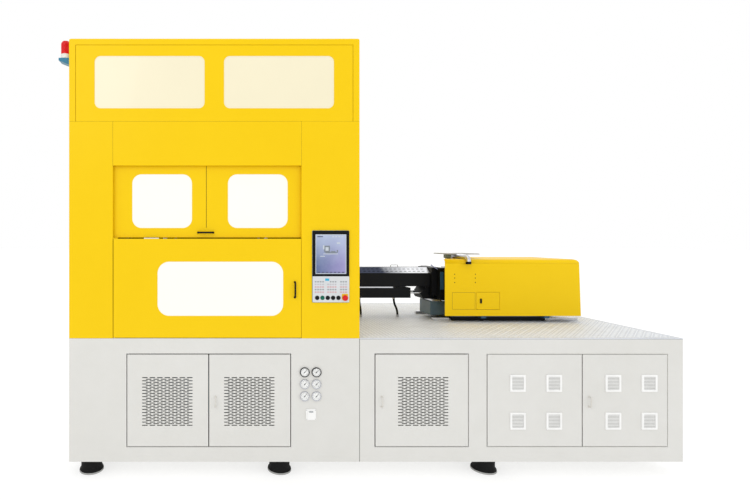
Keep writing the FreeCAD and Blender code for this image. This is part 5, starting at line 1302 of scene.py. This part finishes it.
# %% Bed, support, shoes and painted shade strips
BED, SUPPORT = 1195, 1036
SHOE_LONG, SHOE_HALF, WAY_HALF = 160, 45, 20.5
bed = [((BED, BED + 972), (-270, 270), (42, 66)), ((YOKE, YOKE + PLATE), (-240, 240), (66, AXIS - 165))]
for start in (BED + 260, BED + 900):
    for side in ((270, 351), (-351, -270)):
        bed.append(((start, start + 50), side, (42, 96)))
blocks("unit_bed", UNIT, bed, "injection_unit", BLUE, "blue_paint", replaces=("unit_sled",), rounding=2)
blocks("unit_support", UNIT, [((SUPPORT, SUPPORT + 200), (-137, 137), (40, 188))],
       "injection_unit", SLATE, "cast", rounding=9, segments=4)
blocks("machined_top", UNIT, [((SUPPORT + 12, THRUST + 62), (-142, 142), (186, 212))],
       "injection_unit", SILVER, "mould_steel", rounding=5, segments=4)

shoe_and_shade_blocks = []
for start in (1215, 1995):
    for way in (-215, 215):
        reach = (start, start + SHOE_LONG)
        shoe_and_shade_blocks.append((reach, (way - SHOE_HALF, way - WAY_HALF), (8, 42)))
        shoe_and_shade_blocks.append((reach, (way + WAY_HALF, way + SHOE_HALF), (8, 42)))
        shoe_and_shade_blocks.append((reach, (way - SHOE_HALF, way + SHOE_HALF), (30.5, 42)))
# Painted shade: a black strip along each side of the bed fills the shadow under the cover's edge.
for side in ((-264, -252), (252, 264)):
    shoe_and_shade_blocks.append(((BED + 4, BED + 968), side, (5, 44)))
blocks("unit_shoes_and_shade_strips", UNIT, shoe_and_shade_blocks, "injection_unit", BLACK, "black_paint", rounding=1)

# %% [markdown]
# ## Injection unit: hopper flange and cover trim
#
# The hopper bolts to a flat flange above the cover. A bent pipe leaves it to the front, and small blocks
# hang under it. The cover's long edges are rolled: a rounded strip of sheet runs along the front, round the
# end and back along the rear, mitred at the corners. The cover also has screws, a blank plate whose groove
# shows as a fine dark line of painted shade, and a black latch on its hatch.

# %% Flange, pipe and blocks
flange_low, flange_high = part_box("hopper_flange")
THROAT = Vector(((flange_low.x + flange_high.x) / 2, MIDDLE, flange_high.z))
UNDER_THROAT = Vector((THROAT.x, MIDDLE, DECK))
FLANGE_BOLT = 140 * MM
flange = bmesh.new()
loops = round_hole(flange, (0, 0), 40 * MM, 0, 48)
for x in (-FLANGE_BOLT, FLANGE_BOLT):
    for y in (-FLANGE_BOLT, FLANGE_BOLT):
        loops += round_hole(flange, (x, y), 7 * MM, 0, 20)
plate(flange, (0, 0), 336 * MM, 336 * MM, 4 * MM, 0, 10 * MM, loops)
bmesh.ops.transform(flange, verts=flange.verts,
                    matrix=Matrix.Translation(THROAT) @ Matrix.Rotation(-QUARTER, 4, "X"))
piece("hopper_plate", flange, "injection_unit", DUSTY_STEEL, "steel", ("hopper_flange",), 1)

pipe, mouth = bmesh.new(), bmesh.new()
PIPE_BEND = 52 * MM
MOUTH = [(0, 0), (24, 0), (25.5, 2), (25.5, 24), (23, 26), (0, 26)]
swept_bar(pipe, UNDER_THROAT + Vector((-70, -76, 667)) * MM, (0, -1, 0),
          [316 * MM - PIPE_BEND, ((1, 0, 0), PIPE_BEND), 8 * MM], 23 * MM, 28)
piece("drain_pipe", pipe, "injection_unit", SILVER, "steel")
turned(mouth, MOUTH, UNDER_THROAT + Vector((-70, -392, 593)) * MM, "Z", 28)
piece("drain_mouth", mouth, "injection_unit", BLACK_PLASTIC, "black_plastic")
blocks("flange_cast_block", THROAT, [((-178, -124), (-150, -90), (-48, -9.9))],
       "injection_unit", GREEN_GREY, "cast", rounding=3)
blocks("flange_pale_block", THROAT, [((-62, -6), (-150, -90), (-50, -9.9))],
       "injection_unit", PALE_BLUE, "panel_plastic", rounding=3)

# %% Rolled edges of the cover
cover_low, cover_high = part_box("injection_cover")
ROLL = 40 * MM
LEAN = 20 * MM
CUT_BACK = 344 * MM
ROLL_STEPS = 8
roll = bmesh.new()
lines = []
for step in range(ROLL_STEPS + 1):
    angle = QUARTER * step / ROLL_STEPS
    inset, up = ROLL * (1 - math.cos(angle)), cover_high.z - ROLL * (1 - math.sin(angle))
    end = cover_high.x - LEAN * (up - cover_low.z) / (cover_high.z - cover_low.z) - inset
    lines.append([roll.verts.new(place) for place in (
        (cover_low.x, cover_low.y + inset, up), (end, cover_low.y + inset, up),
        (end, cover_high.y - inset, up), (cover_low.x + CUT_BACK, cover_high.y - inset, up))])
for lower, upper in zip(lines, lines[1:]):
    for side in range(3):
        roll.faces.new((lower[side], lower[side + 1], upper[side + 1], upper[side]))
give_wall(piece("cover_rolled_edges", roll, "injection_unit", YELLOW, "yellow_paint"), 1.2 * MM)

# %% Screws, painted groove shade and latch on the cover
hatch_low, hatch_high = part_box("cover_hatch")
SCREW = [(0, 0), (5, 0), (4.6, 1.6), (3, 2.4), (0, 2.6)]
screws = bmesh.new()
for across in (98, 307):
    for up in (339, 384, 423):
        turned(screws, SCREW, cover_low + Vector((across, 0, up)) * MM, "-Y", 16)
piece("cover_screws", screws, "injection_unit", INK, "black_paint")

# Painted shade: a thin dark frame just proud of the cover stands for the shadow in the blank plate's groove.
line = bmesh.new()
HATCH_WIDE, HATCH_HIGH = 233 * MM, 173 * MM
GROOVE_SHADE_FACE = cover_low.y - 0.15 * MM
blank = (hatch_low.x - 12 * MM - HATCH_WIDE / 2, (hatch_low.z + hatch_high.z) / 2)
loop = rounded_loop(line, blank, HATCH_WIDE - 5 * MM, HATCH_HIGH - 5 * MM, 2 * MM, 2, GROOVE_SHADE_FACE)
plate(line, blank, HATCH_WIDE, HATCH_HIGH, 4 * MM, GROOVE_SHADE_FACE, 1 * MM, loop, 2)
piece("cover_plate_groove_shade", line, "injection_unit", GROOVE_SHADE, "yellow_paint")

latch = bmesh.new()
LATCH_HALF = 23.5 * MM
block(latch, (hatch_low.x + 35.5 * MM, hatch_low.y - 0.4 * MM, blank[1] - LATCH_HALF),
      (hatch_low.x + 52.5 * MM, cover_low.y, blank[1] + LATCH_HALF))
piece("hatch_latch", latch, "hatch", BLACK_PLASTIC, "black_plastic", rounding=1.5)

# %% [markdown]
# ## Hoses
#
# Two rubber hoses drop from the cylinder guard to the deck. Each is one smooth curve through the route's
# points, with a crimped steel sleeve at both ends. The hoses are part of the frame, so neither end moves.

# %% Hoses and their sleeves
HOSE = 22 * MM
HOSE_TOP = cylinder_low.z
ROUTES = {
    "hose_one": [(0.232, 1), (0.232, 0.68), (0.249, 0.33), (0.249, 0)],
    "hose_two": [(0.606, 1), (0.606, 0.68), (0.648, 0.33), (0.648, 0)],
}
sleeves = bmesh.new()
SLEEVE = [(11.2, 0), (14, 0), (14, 4), (12.6, 5), (12.6, 12), (14, 13), (14, 22), (12.4, 24), (11.2, 24),
          (11.2, 0)]
for name, route in ROUTES.items():
    points = [Vector((across, MIDDLE, DECK + part * (HOSE_TOP - DECK))) for across, part in route]
    curve = bpy.data.curves.new(name, "CURVE")
    curve.dimensions = "3D"
    curve.bevel_depth = HOSE / 2
    curve.bevel_resolution = 5
    curve.resolution_u = 16
    curve.use_fill_caps = True
    spline = curve.splines.new("NURBS")
    spline.points.add(len(points) - 1)
    for control, place in zip(spline.points, points):
        control.co = (*place, 1)
    spline.order_u = 3
    spline.use_endpoint_u = True
    curve.materials.append(RUBBER)
    hose = bpy.data.objects.new(name, curve)
    bpy.context.collection.objects.link(hose)
    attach(hose, FRAME_BODY)
    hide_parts("feed_hoses")
    turned(sleeves, SLEEVE, points[-1], "Z", 24)
    turned(sleeves, SLEEVE, points[0] - Vector((0, 0, 24 * MM)), "Z", 24)
piece("hose_sleeves", sleeves, FRAME_BODY, STEEL, "steel")

# %% [markdown]
# ## Inside the cabinets
#
# Behind the slotted doors stands the oil tank with its motor and pump, and behind the filter doors the
# drive cases. They show dimly through the slots and fully when a door is open, so they have their main
# details.

# %% Hydraulic power unit
unit_low, unit_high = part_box("hydraulic_power_unit")
TANK_TOP = unit_low.z + 430 * MM
MOTOR_UP = 210
FILLER = [(0, 0), (40, 0), (40, 30), (46, 32), (46, 60), (42, 64), (0, 64)]
LID = Vector((unit_low.x, (unit_low.y + unit_high.y) / 2, TANK_TOP))
TANK_CORNER = Vector((unit_high.x, unit_low.y, TANK_TOP))
tank, tank_trim, pump_motor = bmesh.new(), bmesh.new(), bmesh.new()
block(tank, unit_low, (unit_high.x, unit_high.y, TANK_TOP - 20 * MM))
block(tank, (unit_low.x, unit_low.y, TANK_TOP - 19 * MM), (unit_high.x, unit_high.y, TANK_TOP))
slab(tank, LID, (150, 670), (-75, 75), (0, 90))
piece("oil_tank", tank, FRAME_BODY, BLUE, "blue_paint", ("hydraulic_power_unit",), 4)
ribbed_motor(pump_motor, LID + Vector((150, 0, MOTOR_UP)) * MM, 520, 150, 36)
slab(pump_motor, LID, (330, 480), (-60, 60), (MOTOR_UP + 40, MOTOR_UP + 148))
piece("pump_motor", pump_motor, FRAME_BODY, SLATE, "blue_paint")
slab(tank_trim, LID, (670, 820), (-75, 75), (MOTOR_UP - 75, MOTOR_UP + 75))
turned(tank_trim, FILLER, TANK_CORNER + Vector((-110, 110, 0)) * MM, "Z", 32)
slab(tank_trim, TANK_CORNER, (-160, -120), (-0.5, 4), (-300, -120))
piece("tank_fittings", tank_trim, FRAME_BODY, STEEL, "steel", rounding=2)

# %% Switchgear
gear_low, gear_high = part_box("switchgear")
back_plate, cases, case_slots, ducts = (bmesh.new() for _ in range(4))
block(back_plate, (gear_low.x, gear_high.y - 20 * MM, gear_low.z), gear_high)
piece("switchgear_plate", back_plate, FRAME_BODY, GALVANISED, "steel", ("switchgear",), 2)
for count in range(3):
    case = gear_low + Vector((80 + 340 * count, 0, 120)) * MM
    slab(cases, case, (0, 260), (0, 180), (0, 520))
    for up in range(60, 172, 14):
        slab(case_slots, case, (40, 220), (-0.4, 2), (up, up + 5))
    slab(case_slots, case, (70, 190), (-0.6, 2), (400, 460))
piece("drive_cases", cases, FRAME_BODY, GREY, "grey_paint", rounding=4)
piece("drive_case_vents", case_slots, FRAME_BODY, BLACK_PLASTIC, "black_plastic")
for low in (gear_low.z + 20 * MM, gear_low.z + 690 * MM):
    block(ducts, (gear_low.x + 40 * MM, gear_high.y - 70 * MM, low),
          (gear_high.x - 40 * MM, gear_high.y - 20 * MM, low + 50 * MM))
piece("cable_ducts", ducts, FRAME_BODY, GREY, "grey_paint", rounding=2)
print("cabinets fitted")

# %% [markdown]
# ## Floor
#
# A plain pale floor that runs far behind the machine. Part of its brightness is its own, so its far end is
# as white as the surround, no horizon shows, and the machine's shadow on it stays faint, as in the
# photograph.

# %% Floor
ground = bmesh.new()
bmesh.ops.create_grid(ground, x_segments=1, y_segments=1, size=90)
sweep = bpy.data.meshes.new("floor")
ground.to_mesh(sweep)
ground.free()
floor = bpy.data.objects.new("floor", sweep)
bpy.context.collection.objects.link(floor)
pale = Finish("pale floor", Roughness=0.7, Specular_IOR_Level=0.1, Emission_Color=(1, 1, 1, 1),
              Emission_Strength=0.6)
pale.feed("Base Color", pale.mix(pale.noise(0.8, 2), (0.44, 0.44, 0.435), (0.46, 0.46, 0.455)))
sweep.materials.append(pale.material)
